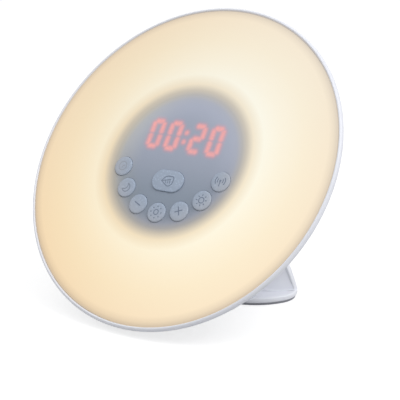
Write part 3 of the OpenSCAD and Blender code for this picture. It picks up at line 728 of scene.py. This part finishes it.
class CLOCK_OT_stage(bpy.types.Operator):
    """Pale floor, soft light and camera"""

    bl_idname = "clock.stage"
    bl_label = "Stage"

    def execute(self, context):
        settings = context.scene.clock_stage
        scene = context.scene
        scene.view_settings.view_transform = "Standard"
        deselect()
        bpy.ops.mesh.primitive_plane_add(size=settings.floor)
        floor = named("floor")
        made = _, tree, _, where = new_material("pale_floor")
        cloudy = texture(tree, "Noise", where, 3.0)["Fac"]
        seen = self.seen(tree)
        bounced = mix(tree, cloudy, *map(grey, FLOOR_BOUNCE))
        base = mix(tree, seen, bounced, grey(FLOOR_SEEN))
        plain = {"Specular IOR Level": 0.0, "Emission Strength": 1.0}
        plain["Emission Color"] = mix(tree, seen, BLACK, grey(FLOOR_GLOW))
        floor.data.materials.append(dress(made, base, 0.9, None, plain))
        self.light(context, settings)
        camera = bpy.data.cameras.new("camera")
        camera.lens = settings.lens
        camera.sensor_width = SENSOR_W
        camera.clip_start = 0.01
        viewer = self.put("camera", camera)
        back = CAMERA_RIGHT.cross(CAMERA_UP).normalized()
        up = back.cross(CAMERA_RIGHT).normalized()
        turn = Matrix((CAMERA_RIGHT, up, back)).transposed().to_4x4()
        viewer.matrix_world = Matrix.Translation(CAMERA_SPOT) @ turn
        scene.camera = viewer
        return {"FINISHED"}

    def put(self, name, data):
        """Adds an object that holds a lamp or a camera."""
        holder = bpy.data.objects.new(name, data)
        bpy.context.scene.collection.objects.link(holder)
        return holder

    def seen(self, tree):
        """One where a camera, glossy or transmission ray looks, and nought elsewhere."""
        path = tree.nodes.new("ShaderNodeLightPath")
        total = calc(tree, "ADD", path.outputs["Is Camera Ray"], path.outputs["Is Glossy Ray"])
        return calc(tree, "ADD", total, path.outputs["Is Transmission Ray"], clamp=True)

    def light(self, context, settings):
        """An even world that looks white, a soft lamp at the right and a wide one overhead."""
        world = bpy.data.worlds.new("studio")
        context.scene.world = world
        world.use_nodes = True
        tree = world.node_tree
        level = fade(tree, self.seen(tree), 0, 1, settings.world, 1.0, "LINEAR")
        fill(tree, tree.nodes["Background"], {"Color": WHITE, "Strength": level})
        for name, spot, size, share in LAMPS:
            lamp = bpy.data.lights.new(name, "AREA")
            lamp.size = size
            lamp.energy = settings.lamp * share
            holder = self.put(name, lamp)
            holder.location = spot
            aim = LAMP_AIM - Vector(spot)
            holder.rotation_euler = aim.to_track_quat("-Z", "Y").to_euler()


class CLOCK_OT_opal_face(bpy.types.Operator):
    """Opal face with key holes, its lit ring and the digits that shine through"""

    bl_idname = "clock.opal_face"
    bl_label = "Opal face"

    def execute(self, context):
        inner_r = SKIRT_R - FACE_T
        crown = [(FLAT_R * i / 10, face_z(FLAT_R * i / 10)) for i in range(11)]
        under = [(r, z - FACE_T) for r, z in crown]
        edge = []
        inner = []
        for i in range(1, 11):
            a = math.radians(9 * i)
            drop = EDGE_DROP * (math.cos(a) - 1)
            edge.append((FLAT_R + (SKIRT_R - FLAT_R) * math.sin(a), drop))
            inner.append((FLAT_R + (inner_r - FLAT_R) * math.sin(a), drop - FACE_T * math.cos(a)))
        skirt = [(SKIRT_R, SKIRT_Z), (inner_r, SKIRT_Z)]
        profile = crown + edge + skirt + inner[::-1] + under[::-1]
        face = lathe("opal_face", profile, context.scene.clock_shell.steps)
        holes = [rod("hole", *key_spot(i), -6, 6, KEY_R + KEY_GAP, 96) for i in range(-3, 4)]
        holes.append(place(stadium("snooze_hole", SNOOZE_R + KEY_GAP, -6, 6), SNOOZE_SPOT))
        cut(face, join("key_holes", holes))
        smooth(place(face, HEAD), 30)
        hand_over(face, "clock", self.material(context), ["front_diffuser"])
        return {"FINISHED"}

    def material(self, context):
        """Opal plastic, lit from behind outside the dark middle."""
        lamp = context.scene.clock_face
        digits = context.scene.clock_display
        made = _, tree, _, where = new_material("lit_opal")
        plane = head_coordinates(tree, where)
        flat = vector_calc(tree, "MULTIPLY", plane, (1, 1, 0))
        rings = vector_calc(tree, "SUBTRACT", flat, RING_SHIFT * MM)
        radius = calc(tree, "MULTIPLY", vector_calc(tree, "LENGTH", rings), 1 / (HEAD_R * MM))
        split = node(tree, "ShaderNodeSeparateXYZ", {0: plane}).outputs

        def outward(near, far, *levels):
            """Fade between two distances from the lamps' middle, in mm."""
            return fade(tree, radius, near / HEAD_R, far / HEAD_R, *levels)

        def along(axis, low, high, first, last):
            """Colour that changes along the face, between two places in mm."""
            return mix(tree, fade(tree, split[axis], low * MM, high * MM), (*first, 1), (*last, 1))

        colour = ramp(tree, radius, [(r / HEAD_R, srgb(*rgb)) for r, rgb in RING_LIGHT])
        # Painted shade: the lit ring is made darker and warmer towards its left, away from the
        # lamps at the right, and its colour goes from warmer at the bottom to cooler at the top
        tint = times(
            tree,
            along("X", -70, 60, lamp.painted_light_tint, (1, 1, 1)),
            along("Y", -70, 70, (1.03, 1, 0.95), (0.96, 0.99, 1.05)),
        )
        lit = outward(33, 41)
        colour = mix(tree, lit, colour, times(tree, colour, tint))
        # Painted shadow: the unlit middle darkens towards its lower end, where the keys cast their
        # shadows
        unlit = along("Y", -22, 8, lamp.low, lamp.middle)
        colour = mix(tree, outward(28, 34.5), unlit, colour)
        # Painted light and shade: near the edge of the unlit middle the face is made lighter
        # towards the top and the left, where the ring's glow spreads in, and darker towards the
        # bottom
        painted_light_veil = times(
            tree,
            along("Y", -26, 20, (0.92, 0.91, 0.90), (1.17, 1.15, 1.12)),
            along("X", -32, 0, (1.12, 1.08, 0.97), (1, 1, 1.02)),
        )
        inside = calc(tree, "MULTIPLY", outward(18, 31), outward(33.5, 38, 1.0, 0.0))
        colour = mix(tree, inside, colour, times(tree, colour, painted_light_veil))
        glow = self.digits(tree, flat, digits)
        halo = fade(tree, glow, *HALO_REACH, HALO_SHARE, 0.0)
        half = digits.bar / 2
        bars = fade(tree, glow, (half - 0.9) * MM, (half + 1.1) * MM, BAR_SHARE, 0.0)
        mottle = use_grain(tree, plane, 1.1, 0.42, 0.1)
        bars = calc(tree, "MULTIPLY", bars, fade(tree, mottle["Height"], 0.3, 0.7, 0.7, 1.0))
        colour = mix(tree, halo, colour, srgb(240, 150, 160))
        colour = mix(tree, bars, colour, (*digits.colour, 1))
        given = calc(tree, "MULTIPLY", lit, lamp.glow)
        given = calc(tree, "MAXIMUM", given, calc(tree, "MULTIPLY", bars, BAR_GLOW))
        kept = calc(tree, "SUBTRACT", 1.0, given)
        plain = {"Emission Strength": 1.0, "Specular IOR Level": 0.25}
        plain["Emission Color"] = mix(tree, given, BLACK, colour)
        base = mix(tree, kept, BLACK, colour)
        return dress(made, base, mottle["Roughness"], (mottle["Height"], 0.01), plain)

    def digits(self, tree, flat, settings):
        """Distance in metres from the nearest lit bar or dot."""
        shapes = [((0, y), (0, 0), DOT_SLIMMING) for y in DOT_YS]
        shapes += [(middle, half, 0) for middle, half in lit_bars(settings)]
        nearest = 1.0
        for middle, half, slimming in shapes:
            inputs = {
                "Position": flat,
                "Middle": (Vector((*middle, 0)) + DIGIT_SHIFT) * MM,
                "Half Size": Vector((*half, 0)) * MM,
            }
            away = use_group(tree, bar_distance(), inputs)["Distance"]
            if slimming:
                away = calc(tree, "ADD", away, slimming * MM)
            nearest = calc(tree, "MINIMUM", away, nearest)
        return nearest


def stadium(name, radius, z0, z1):
    """A solid with two round ends, drawn out from a round disc."""
    sides = 64
    deselect()
    bpy.ops.mesh.primitive_circle_add(vertices=sides, radius=radius * MM, fill_type="NGON")
    obj = named(name)
    edit(obj)
    bpy.ops.transform.rotate(value=math.pi / sides, orient_axis="Z", center_override=(0, 0, 0))
    for side in (-1, 1):
        select_vertices(obj, lambda co, side=side: co.x * side > 0)
        bpy.ops.transform.translate(value=(side * SNOOZE_HALF * MM, 0, 0))
    select_mesh()
    bpy.ops.transform.translate(value=(0, 0, z0 * MM))
    draw_up(z1 - z0)
    return obj


def select_vertices(obj, wanted):
    """Selects in edit mode the vertices for which a test holds."""
    bpy.ops.mesh.select_all(action="DESELECT")
    bpy.ops.mesh.select_mode(type="VERT")
    bpy.ops.object.mode_set(mode="OBJECT")
    for vertex in obj.data.vertices:
        vertex.select = wanted(vertex.co)
    bpy.ops.object.mode_set(mode="EDIT")


def stroke(points, width, closed=False):
    """A flat printed stroke through (x, y) points in mm, at height nought."""
    points = list(points)
    if closed:
        points.append(points[0])
    pick(chain("stroke", [(x, y, 0) for x, y in points], closed))
    bpy.ops.object.convert(target="CURVE")
    curve = bpy.context.object.data
    curve.bevel_depth = width / 2 * MM
    curve.bevel_resolution = 1
    curve.use_fill_caps = True
    bpy.ops.object.convert(target="MESH")
    printed = bpy.context.object
    printed.scale = (1, 1, 0.16)
    bpy.ops.object.transform_apply()
    return printed


def ring(x, y, radius, width, start=0, end=360, n=24):
    """A round stroke, whole or part of a turn."""
    points = arc(x, y, radius, start, end, n)
    if end - start == 360:
        return stroke(points[:-1], width, True)
    return stroke(points, width)


def burst(count, reach, make):
    """What a function makes at each of some points round the middle."""
    turns = [TURN * k / count for k in range(count)]
    return [make(math.cos(turn) * reach, math.sin(turn) * reach) for turn in turns]


def sign_strokes(name, w):
    """Strokes of each key's sign, in mm from the key's middle."""
    if name == "alarm":
        return [ring(0, -0.1, 2.2, w * 0.8), stroke([(0, 1.1), (0, -0.1), (0.9, -0.6)], w)]
    if name == "sound":
        outer = arc(0, 0, 2.2, -103, 122, 16)
        inner = arc(-1.66, -0.16, 2.1, 77, -59, 12)
        return [stroke(outer + inner, w, True)]
    if name == "minus":
        return [stroke([(-2.0, 0), (2.0, 0)], w * 1.2)]
    if name == "plus":
        return [stroke([(-2.1, 0), (2.1, 0)], w * 1.2), stroke([(0, -2.3), (0, 2.3)], w * 1.2)]
    if name == "colour":
        return [ring(0, 0, 1.25, w)] + burst(8, 2.9, lambda x, y: ring(x, y, 0.18, w * 0.8, n=8))
    if name == "lamp":
        rays = burst(8, 3.0, lambda x, y: stroke([(x * 0.7, y * 0.7), (x, y)], w))
        return [ring(0, 0, 1.4, w)] + rays
    if name == "radio":
        sides = [(radius, start) for radius in (1.5, 2.7) for start in (-40, 140)]
        waves = [ring(0, 0.3, radius, w, start, start + 80, 8) for radius, start in sides]
        return waves + [ring(0, 0.3, 0.35, w, n=10), stroke([(0, 0), (0, -2.5)], w)]
    tip = (-3.3, -0.5)
    leaf = [tip, *arc(0.2, -0.6, 2.9, 140, 75, 8), *arc(1.9, 1.2, 1.3, 60, 0, 5)]
    leaf += arc(0.9, -0.4, 2.3, 5, -100, 9)
    veins = [[(-0.9 + 1.1 * k, 0.1 + 0.35 * k), (-0.5 + 1.1 * k, -1.3)] for k in range(3)]
    veins.insert(0, [tip, (2.0, 0.9)])
    return [stroke(leaf, w, True)] + [stroke(vein, w * 0.8) for vein in veins]


class CLOCK_OT_keys(bpy.types.Operator):
    """Seven round key caps and the long snooze key, with their printed signs"""

    bl_idname = "clock.keys"
    bl_label = "Keys"

    def execute(self, context):
        settings = context.scene.clock_keys
        cap = self.cap_material(settings)
        ink = self.ink_material(settings)
        top = face_z(KEY_ARC_R) + KEY_PROUD
        flange = face_z(KEY_ARC_R) - FACE_T - FLANGE_DROP
        low, wide = flange - KEY_FLANGE_T, KEY_R + KEY_FLANGE
        profile = [
            (0, STEM_LOW), (STEM_R, STEM_LOW), (STEM_R, low), (wide, low), (wide, flange),
            (KEY_R, flange), (KEY_R, top - 0.5), (KEY_R - 0.06, top - 0.3),
            (KEY_R - 0.24, top - 0.12), (KEY_R - 0.55, top - 0.02), (KEY_R - 1.1, top + 0.06),
            (KEY_R - 1.6, top + CAP_RISE), (0, top + CAP_RISE),
        ]
        model = lathe("key_pattern", profile, settings.sides)
        for i, name in enumerate(KEY_NAMES):
            x, y = key_spot(i - 3)
            key = model.copy()
            key.data = model.data.copy()
            key.name = key.data.name = f"{name}_cap"
            context.scene.collection.objects.link(key)
            smooth(place(key, HEAD @ shift(x, y)), 40)
            hand_over(key, f"{name}_key", cap, [f"{name}_key"])
            sign = join(f"{name}_sign", sign_strokes(name, settings.stroke))
            turn = Matrix.Rotation(0 if name == "radio" else (i - 3) * KEY_STEP, 4, "Z")
            smooth(place(sign, HEAD @ shift(x, y, top + CAP_RISE) @ turn), 60)
            hand_over(sign, f"{name}_key", ink)
        bpy.data.objects.remove(model)
        self.snooze(settings, cap, ink)
        return {"FINISHED"}

    def snooze(self, settings, cap, ink):
        """The long key, with the same flange and stem."""
        top = face_z(SNOOZE_DROP) + KEY_PROUD
        flange = face_z(SNOOZE_DROP) - FACE_T - FLANGE_DROP
        key = stadium("snooze_cap", SNOOZE_R, flange - 0.1, top + SNOOZE_RISE)
        soften(key, 0.45, 4)
        ledge = stadium("ledge", SNOOZE_R + KEY_FLANGE, flange - KEY_FLANGE_T, flange)
        stem = rod("stem", 0, 0, STEM_LOW, flange - 0.2, STEM_R)
        cut(key, ledge, "UNION")
        cut(key, stem, "UNION")
        smooth(place(key, HEAD @ SNOOZE_SPOT), 40)
        hand_over(key, "snooze_key", cap, ["snooze_key"])
        sign = join("snooze_sign", sign_strokes("snooze", settings.stroke))
        smooth(place(sign, HEAD @ shift(0, -SNOOZE_DROP, top + SNOOZE_RISE + 0.01)), 60)
        hand_over(sign, "snooze_key", ink)

    def cap_material(self, settings):
        """Translucent cap with a speckle of fine light dots, tinted with painted glow near the
        ring.
        """
        made = _, tree, _, where = new_material("speckled_cap")
        speckle = texture(tree, "Voronoi", where, 900.0)["Distance"]
        dots = fade(tree, speckle, 0.18, 0.42, 0.7, 0.0)
        grains = use_grain(tree, where, 0.9, 0.5, 0.1)
        colour = mix(tree, grains["Height"], tone(settings.colour, 0.9), tone(settings.colour, 1))
        colour = mix(tree, dots, colour, tone(settings.colour, 1.2))
        flat = vector_calc(tree, "MULTIPLY", head_coordinates(tree, where), (1, 1, 0))
        # Painted light: caps near the ring are tinted towards its glow, as if its light shone
        # through them
        painted_ring_glow = fade(tree, vector_calc(tree, "LENGTH", flat), 22 * MM, 38 * MM, 0.0, 0.8)
        colour = mix(tree, painted_ring_glow, colour, (*settings.painted_light_tint, 1))
        plain = {"Specular IOR Level": 0.35}
        return dress(made, colour, grains["Roughness"], (speckle, 0.02), plain)

    def ink_material(self, settings):
        """Thin print, a little uneven, with painted glow of the ring washed over the signs of the
        left keys.
        """
        made = _, tree, _, where = new_material("sign_ink")
        patchy = texture(tree, "Noise", where, 1800.0)["Fac"]
        ink = mix(tree, patchy, tone(settings.ink, 1), tone(settings.ink, 1.3))
        # Painted light: the signs on the left keys are washed towards the ring's glow tint
        across = node(tree, "ShaderNodeSeparateXYZ", {0: where}).outputs["X"]
        painted_light_veil = fade(tree, across, -34 * MM, -14 * MM, 0.6, 0.0)
        colour = mix(tree, painted_light_veil, ink, (*settings.painted_light_tint, 1))
        return dress(made, colour, fade(tree, patchy, 0, 1, 0.6, 0.75), None, {})


class CLOCK_OT_rear_housing(bpy.types.Operator):
    """Shell with its rim, pod, sound holes, inlet slot and posts"""

    bl_idname = "clock.rear_housing"
    bl_label = "Rear housing"

    def execute(self, context):
        settings = context.scene.clock_shell
        r = HEAD_R
        lip = rounded(
            [
                (r - 1.8, -1.2), (r - 1.6, -0.8), (r - 1.2, -0.5), (r - 0.7, -0.7),
                (r - 0.25, -1.2), (r, -2.0), (r - 0.05, -2.6), (r - 0.5, -3.2), (r - 1.2, -4.0),
                (r - 2.2, -5.2),
                (r - 3.7, -7.0), (r - 5.6, -9.0), (r - 8, -10.9), (r - 14, -13.6), (r - 24, -17.0),
                (54, -18.7), (50.8, -20.1), (48.6, -22), (47.4, -24.6), (46.8, -28),
                (POD_R, 5 + POD_BACK), (POD_R - 0.9, 2.4 + POD_BACK), (POD_R - 2.8, 0.8 + POD_BACK),
                (POD_R - 5.4, POD_BACK),
            ],
            3,
        )
        lip = [(radius, max(z, POD_BACK)) for radius, z in lip]
        inner = [
            (0, POD_IN), (POD_R - 5.8, POD_IN), (POD_R - 4.2, POD_IN + 0.5),
            (POD_R - 2.8, POD_IN + 1.8), (POD_R - 2.2, 5 + POD_BACK), (44.6, -28), (45.1, -25),
            (46.4, -21), (48.9, -18.5), (53.2, -16.7), (r - 24.6, -14.9), (r - 14.8, -11.6),
            (r - 9.2, -9.1), (r - 7.2, -7.6), (r - 5.6, -6.0), (r - 4.4, -4.4),
            (r - 4.4, SKIRT_Z - 0.1), (r - 1.9, SKIRT_Z - 0.1),
        ]
        shell = lathe("housing_shell", lip + [(0, POD_BACK)] + inner, settings.steps, closed=True)
        spots = [(0, SPEAKER_Y, SOUND_HOLE_R, 20)]
        for count in (1, 2, 3):
            for k in range(6 * count):
                x, y = spot_at(60 * k / count, SOUND_HOLE_STEP * count, 0, SPEAKER_Y)
                spots.append((x, y, SOUND_HOLE_R, 20))
        spots += [(x, y, 1.15, 24) for x, y in STAND_SCREWS]
        spots += [(*LEAD_HOLE, 48), (*GROMMET_HOLE, 48)]
        through = POD_BACK - 1, POD_IN + 1
        holes = [rod("hole", x, y, *through, radius, sides) for x, y, radius, sides in spots]
        holes.append(block("slot", *INLET_SLOT))
        cut(shell, join("shell_holes", holes))
        shell = join("housing_shell", [shell] + self.posts())
        smooth(place(shell, HEAD), 32)
        finish = plastic("satin_white", (*settings.colour, 1), rough=0.42, grain=0.35, depth=0.012)
        hand_over(shell, "clock", finish, ["rear_housing"])
        return {"FINISHED"}

    def posts(self):
        """Hollow posts inside the shell for the boards, the barrel and the speaker."""
        spots = [(*spot_at(30 + 120 * k, BARREL_POSTS_R), POD_IN, -15.0, 3.0) for k in range(3)]
        for k in range(4):
            spots.append((*spot_at(90 * k, RING_POSTS_R), -18.6, -13.4, 2.6))
            speaker = spot_at(90 * k + 45, SPEAKER_POSTS_R, 0, SPEAKER_Y)
            spots.append((*speaker, POD_IN, POD_IN + 2.1, 2.4))
        for side in (-1, 1):
            spots += [(MAIN_POST_X * side, y, POD_IN, -20.6, 2.8) for y in (16, -20)]
            spots.append((INLET_POST_X, 4.8 * side, POD_IN, -30.2, 2.3))
        made = []
        for x, y, low, high, radius in spots:
            low -= 0.4
            wall = [(POST_BORE, low), (radius, low), (radius, high), (POST_BORE, high)]
            made.append(place(lathe("post", wall, 24, closed=True), shift(x, y)))
        return made


def plate_half_w(s):
    """Half width of the stand's back plate at a height along it."""
    return PLATE_W - 0.1 * s - 0.007 * s * s


def plate_outline(inset):
    """Outline of the back plate, drawn in from its sides."""
    low, high, n = -2.0, 60.0, 24
    rising = [low + (high - low) * i / n for i in range(n + 1)]
    right = [(plate_half_w(s) - inset, s) for s in rising]
    return right + [(-x, s) for x, s in reversed(right)]


def foot_outline(inset):
    """Outline of the foot, drawn in from its edge."""
    side_r, corner_r, rear_r = 29, 12.8, 3.0
    front_turn, side_turn, corner_turn = -69.5, -30, 30
    half_w, front = 46.2, 18.2
    side_x = half_w - corner_r - spot_at(side_turn, side_r - corner_r)[0]
    front_r = side_r + side_x / math.cos(math.radians(front_turn))
    front_y = front_r - front
    side_y = spot_at(front_turn, front_r - side_r, 0, front_y)[1]
    corner_x = half_w - corner_r
    corner_y = spot_at(side_turn, side_r - corner_r, 0, side_y)[1]
    rear_x, rear_y = spot_at(corner_turn, corner_r - rear_r, corner_x, corner_y)
    half = (
        arc(0, front_y, front_r - inset, -90, front_turn, 12)
        + arc(side_x, side_y, side_r - inset, front_turn, side_turn, 16)[1:]
        + arc(corner_x, corner_y, corner_r - inset, side_turn, corner_turn, 10)[1:]
        + arc(rear_x, rear_y, rear_r - inset, corner_turn, 90, 8)[1:]
    )
    return half + [(-x, y) for x, y in reversed(half[1:])]


class CLOCK_OT_stand(bpy.types.Operator):
    """Hollow leaning column with its back plate"""

    bl_idname = "clock.stand"
    bl_label = "Stand"

    def execute(self, context):
        settings = context.scene.clock_shell
        column = self.web("stand_shell", 0, 1, WEB_FILLET)
        plate = slab("plate", plate_outline(0), -PLATE_T, 0)
        soften(plate, 0.6, 4)
        cut(column, place(plate, BACK), "UNION")
        pod = HEAD @ Vector((0, 0, POD_BACK * MM))
        out = (HEAD.to_3x3() @ UP).normalized()
        slice_off(column, pod, out)
        slice_off(column, Vector((0, 0, FOOT_TOP * MM)), -UP)
        hollow = self.web("hollow", STAND_WALL, 0, 0)
        slice_off(hollow, pod - out * ROOF_T * MM, out)
        cut(column, hollow)
        for low, radius in ((-DOOR_T - 0.1, DOOR_R), (-PLATE_T - 1, DOOR_LIP_R)):
            hole = rod("hole", 0, CELL_RISE, low, 3, radius + DOOR_GAP, 96)
            cut(column, place(hole, BACK))
        smooth(column, 32)
        # Painted light: the stand's white is the shell's white made lighter, to stand in for light
        # on the stand in the head's shade
        pale = tone(settings.colour, 1.12)
        finish = plastic("painted_light_stand_white", pale, rough=0.4, grain=0.35, depth=0.012)
        hand_over(column, "clock", finish, ["stand_column"])
        return {"FINISHED"}

    def web(self, name, inset, overlap, fillet):
        """Upright block with a round front, up to the plate and within its sides."""
        radius = WEB_R - inset
        low = FOOT_TOP - 1
        profile = [(0, low), (radius + fillet, low)]
        if fillet:
            profile += arc(radius + fillet, FOOT_TOP + fillet, fillet, -90, -180, 8)
        profile += [(radius, 80), (0, 80)]
        web = place(lathe(name, profile, 256), shift(0, WEB_Y))
        outline = plate_outline((0.2 if fillet else PLATE_LIP) + inset)
        sides = place(slab("sides", outline, -60, overlap - PLATE_T), BACK)
        return cut(web, sides, "INTERSECT")


class CLOCK_OT_foot(bpy.types.Operator):
    """D-shaped foot plate and the rubber pad under it"""

    bl_idname = "clock.foot"
    bl_label = "Foot"

    def execute(self, context):
        settings = context.scene.clock_shell
        lip_rear = PLATE_BACK - PLATE_T / math.cos(STAND_LEAN) - 0.3
        base = slab("foot_plate", foot_outline(0), PAD_T, FOOT_TOP + FOOT_LIP)
        soften(base, settings.edge, 5)
        inside = slab("inside", foot_outline(1.5), FOOT_TOP, FOOT_TOP + 3)
        cut(inside, block("rear", (-60, lip_rear, FOOT_TOP), (60, 40, FOOT_TOP + 3)), "UNION")
        smooth(cut(base, inside), 32)
        # The stand's white made lighter, as painted light on the foot
        finish = bpy.data.materials["painted_light_stand_white"]
        hand_over(base, "clock", finish, ["stand_base"])
        pad = slab("rubber_pad", foot_outline(0.9), 0, PAD_T)
        smooth(soften(pad, 0.25, 2), 32)
        grey_rubber = srgb(158, 160, 168)
        rubber = plastic("foot_rubber", grey_rubber, rough=0.8, grain=0.6, depth=0.04, specular=0.3)
        hand_over(pad, "clock", rubber, ["foot_pad"])
        return {"FINISHED"}


class CLOCK_OT_cell_door(bpy.types.Operator):
    """Round door of the back-up cell, with a coin slot and two lugs"""

    bl_idname = "clock.cell_door"
    bl_label = "Cell door"

    def execute(self, context):
        inner = -PLATE_T - LUG_T
        profile = [
            (0, inner), (DOOR_LIP_R, inner), (DOOR_LIP_R, -DOOR_T), (DOOR_R, -DOOR_T),
            (DOOR_R, -0.35), (DOOR_R - 0.1, -0.1), (DOOR_R - 0.35, 0), (DOOR_R - 1.6, 0),
            (DOOR_R - 1.8, -0.18), (DOOR_R - 2.2, -0.18), (DOOR_R - 2.4, 0), (0, 0),
        ]
        door = lathe("coin_door", profile, 96)
        lugs = block("lugs", (-DOOR_R, -LUG_W / 2, inner), (DOOR_R, LUG_W / 2, inner + LUG_T - 0.2))
        cut(door, lugs, "UNION")
        slot = block("slot", (-6, -0.9, -0.9), (6, 0.9, 1))
        soften(slot, 0.6, 4)
        cut(door, slot)
        smooth(place(door, BACK @ shift(0, CELL_RISE)), 35)
        # The stand's white made lighter, as painted light on the door
        finish = bpy.data.materials["painted_light_stand_white"]
        hand_over(door, "cell_door", finish, ["cell_door"])
        return {"FINISHED"}


class CLOCK_OT_inner_parts(bpy.types.Operator):
    """Finishes of the boards, speaker, leads and fasteners inside"""

    bl_idname = "clock.inner_parts"
    bl_label = "Inner parts"

    def execute(self, context):
        finishes = {
            "white_plastic": plastic("barrel_white", srgb(235, 236, 240), rough=0.5),
            "black_plastic": plastic("switch_black", srgb(38, 38, 42), rough=0.5, depth=0.03),
            "display_black": plastic("display_black", srgb(34, 34, 38), rough=0.65),
            "digit_red": plastic("bar_red", srgb(250, 150, 145), rough=0.3, mottle=0.08),
            "board_green": circuit_board("board_green", srgb(40, 110, 72), srgb(70, 150, 96)),
            "board_white": circuit_board("board_white", srgb(240, 240, 236), srgb(225, 226, 222)),
            "lamp_yellow": plastic("lamp_yellow", srgb(250, 235, 160), rough=0.25, mottle=0.1),
            "reflector_white": plastic("reflector_white", srgb(246, 246, 246), rough=0.6),
            "chip_black": plastic("chip_black", srgb(32, 32, 35), 0.55, grain=0.25, depth=0.03),
            "capacitor_blue": plastic("sleeve_blue", srgb(44, 54, 92), rough=0.25, coat=0.3),
            "header_cream": plastic("header_cream", srgb(240, 234, 216), rough=0.45),
            "bright_metal": metal("tinned_metal", srgb(216, 216, 220), rough=0.3),
            "screw_steel": metal("screw_steel", srgb(200, 200, 204), rough=0.35),
            "magnet_grey": metal("magnet_grey", srgb(120, 120, 126), rough=0.55),
            "cone_paper": soft_sheet("cone_paper", srgb(60, 60, 62), 0.7, 0.08),
            "black_foam": soft_sheet("black_foam", srgb(48, 48, 52), 0.5, 0.2),
            "grey_rubber": plastic("grommet_rubber", srgb(96, 98, 106), rough=0.75, depth=0.04),
            "ribbon_grey": plastic("ribbon_grey", srgb(206, 207, 212), rough=0.4, grain=0.8),
            "lead_red": plastic("lead_red", srgb(200, 50, 46), rough=0.35, coat=0.2),
            "lead_black": plastic("lead_black", srgb(52, 52, 56), rough=0.35, coat=0.2),
            "contact_brass": metal("contact_brass", srgb(226, 202, 140), rough=0.25),
            "key_grey": bpy.data.materials["speckled_cap"],
            "opal": bpy.data.materials["lit_opal"],
        }
        shown = 0
        for part in frame["record"]["subparts"]:
            obj = frame["nodes"][part["node"]]
            if obj.hide_render:
                continue
            finish = finishes[part["material_slot"]]
            obj.data.materials.clear()
            obj.data.materials.append(finish)
            shown += 1
        if not shown:
            raise RuntimeError("no inner part was found")
        return {"FINISHED"}


class CLOCK_PT_panel(bpy.types.Panel):
    """Buttons that build the clock piece by piece"""

    bl_idname = "CLOCK_PT_panel"
    bl_label = "Sunrise alarm clock"
    bl_space_type = "VIEW_3D"
    bl_region_type = "UI"
    bl_category = "Clock"

    def draw(self, context):
        for step in STEPS:
            self.layout.operator(step.bl_idname)
        for name, kind in SETTINGS.items():
            box = self.layout.box()
            box.label(text=kind.__doc__)
            for prop in kind.__annotations__:
                box.prop(getattr(context.scene, name), prop)


SETTINGS = {
    "clock_face": CLOCK_PG_face,
    "clock_display": CLOCK_PG_display,
    "clock_keys": CLOCK_PG_keys,
    "clock_shell": CLOCK_PG_shell,
    "clock_stage": CLOCK_PG_stage,
}
STEPS = (
    CLOCK_OT_stage,
    CLOCK_OT_opal_face,
    CLOCK_OT_keys,
    CLOCK_OT_rear_housing,
    CLOCK_OT_stand,
    CLOCK_OT_foot,
    CLOCK_OT_cell_door,
    CLOCK_OT_inner_parts,
)


def register():
    for kind in (*SETTINGS.values(), *STEPS, CLOCK_PT_panel):
        bpy.utils.register_class(kind)
    for name, kind in SETTINGS.items():
        setattr(bpy.types.Scene, name, PointerProperty(type=kind))


def unregister():
    for name in SETTINGS:
        delattr(bpy.types.Scene, name)
    for kind in (CLOCK_PT_panel, *reversed(STEPS), *reversed(list(SETTINGS.values()))):
        bpy.utils.unregister_class(kind)


def main():
    register()
    bpy.ops.clock.stage()
    bpy.ops.clock.opal_face()
    bpy.ops.clock.keys()
    bpy.ops.clock.rear_housing()
    bpy.ops.clock.stand()
    bpy.ops.clock.foot()
    bpy.ops.clock.cell_door()
    bpy.ops.clock.inner_parts()


if __name__ == "__main__":
    main()
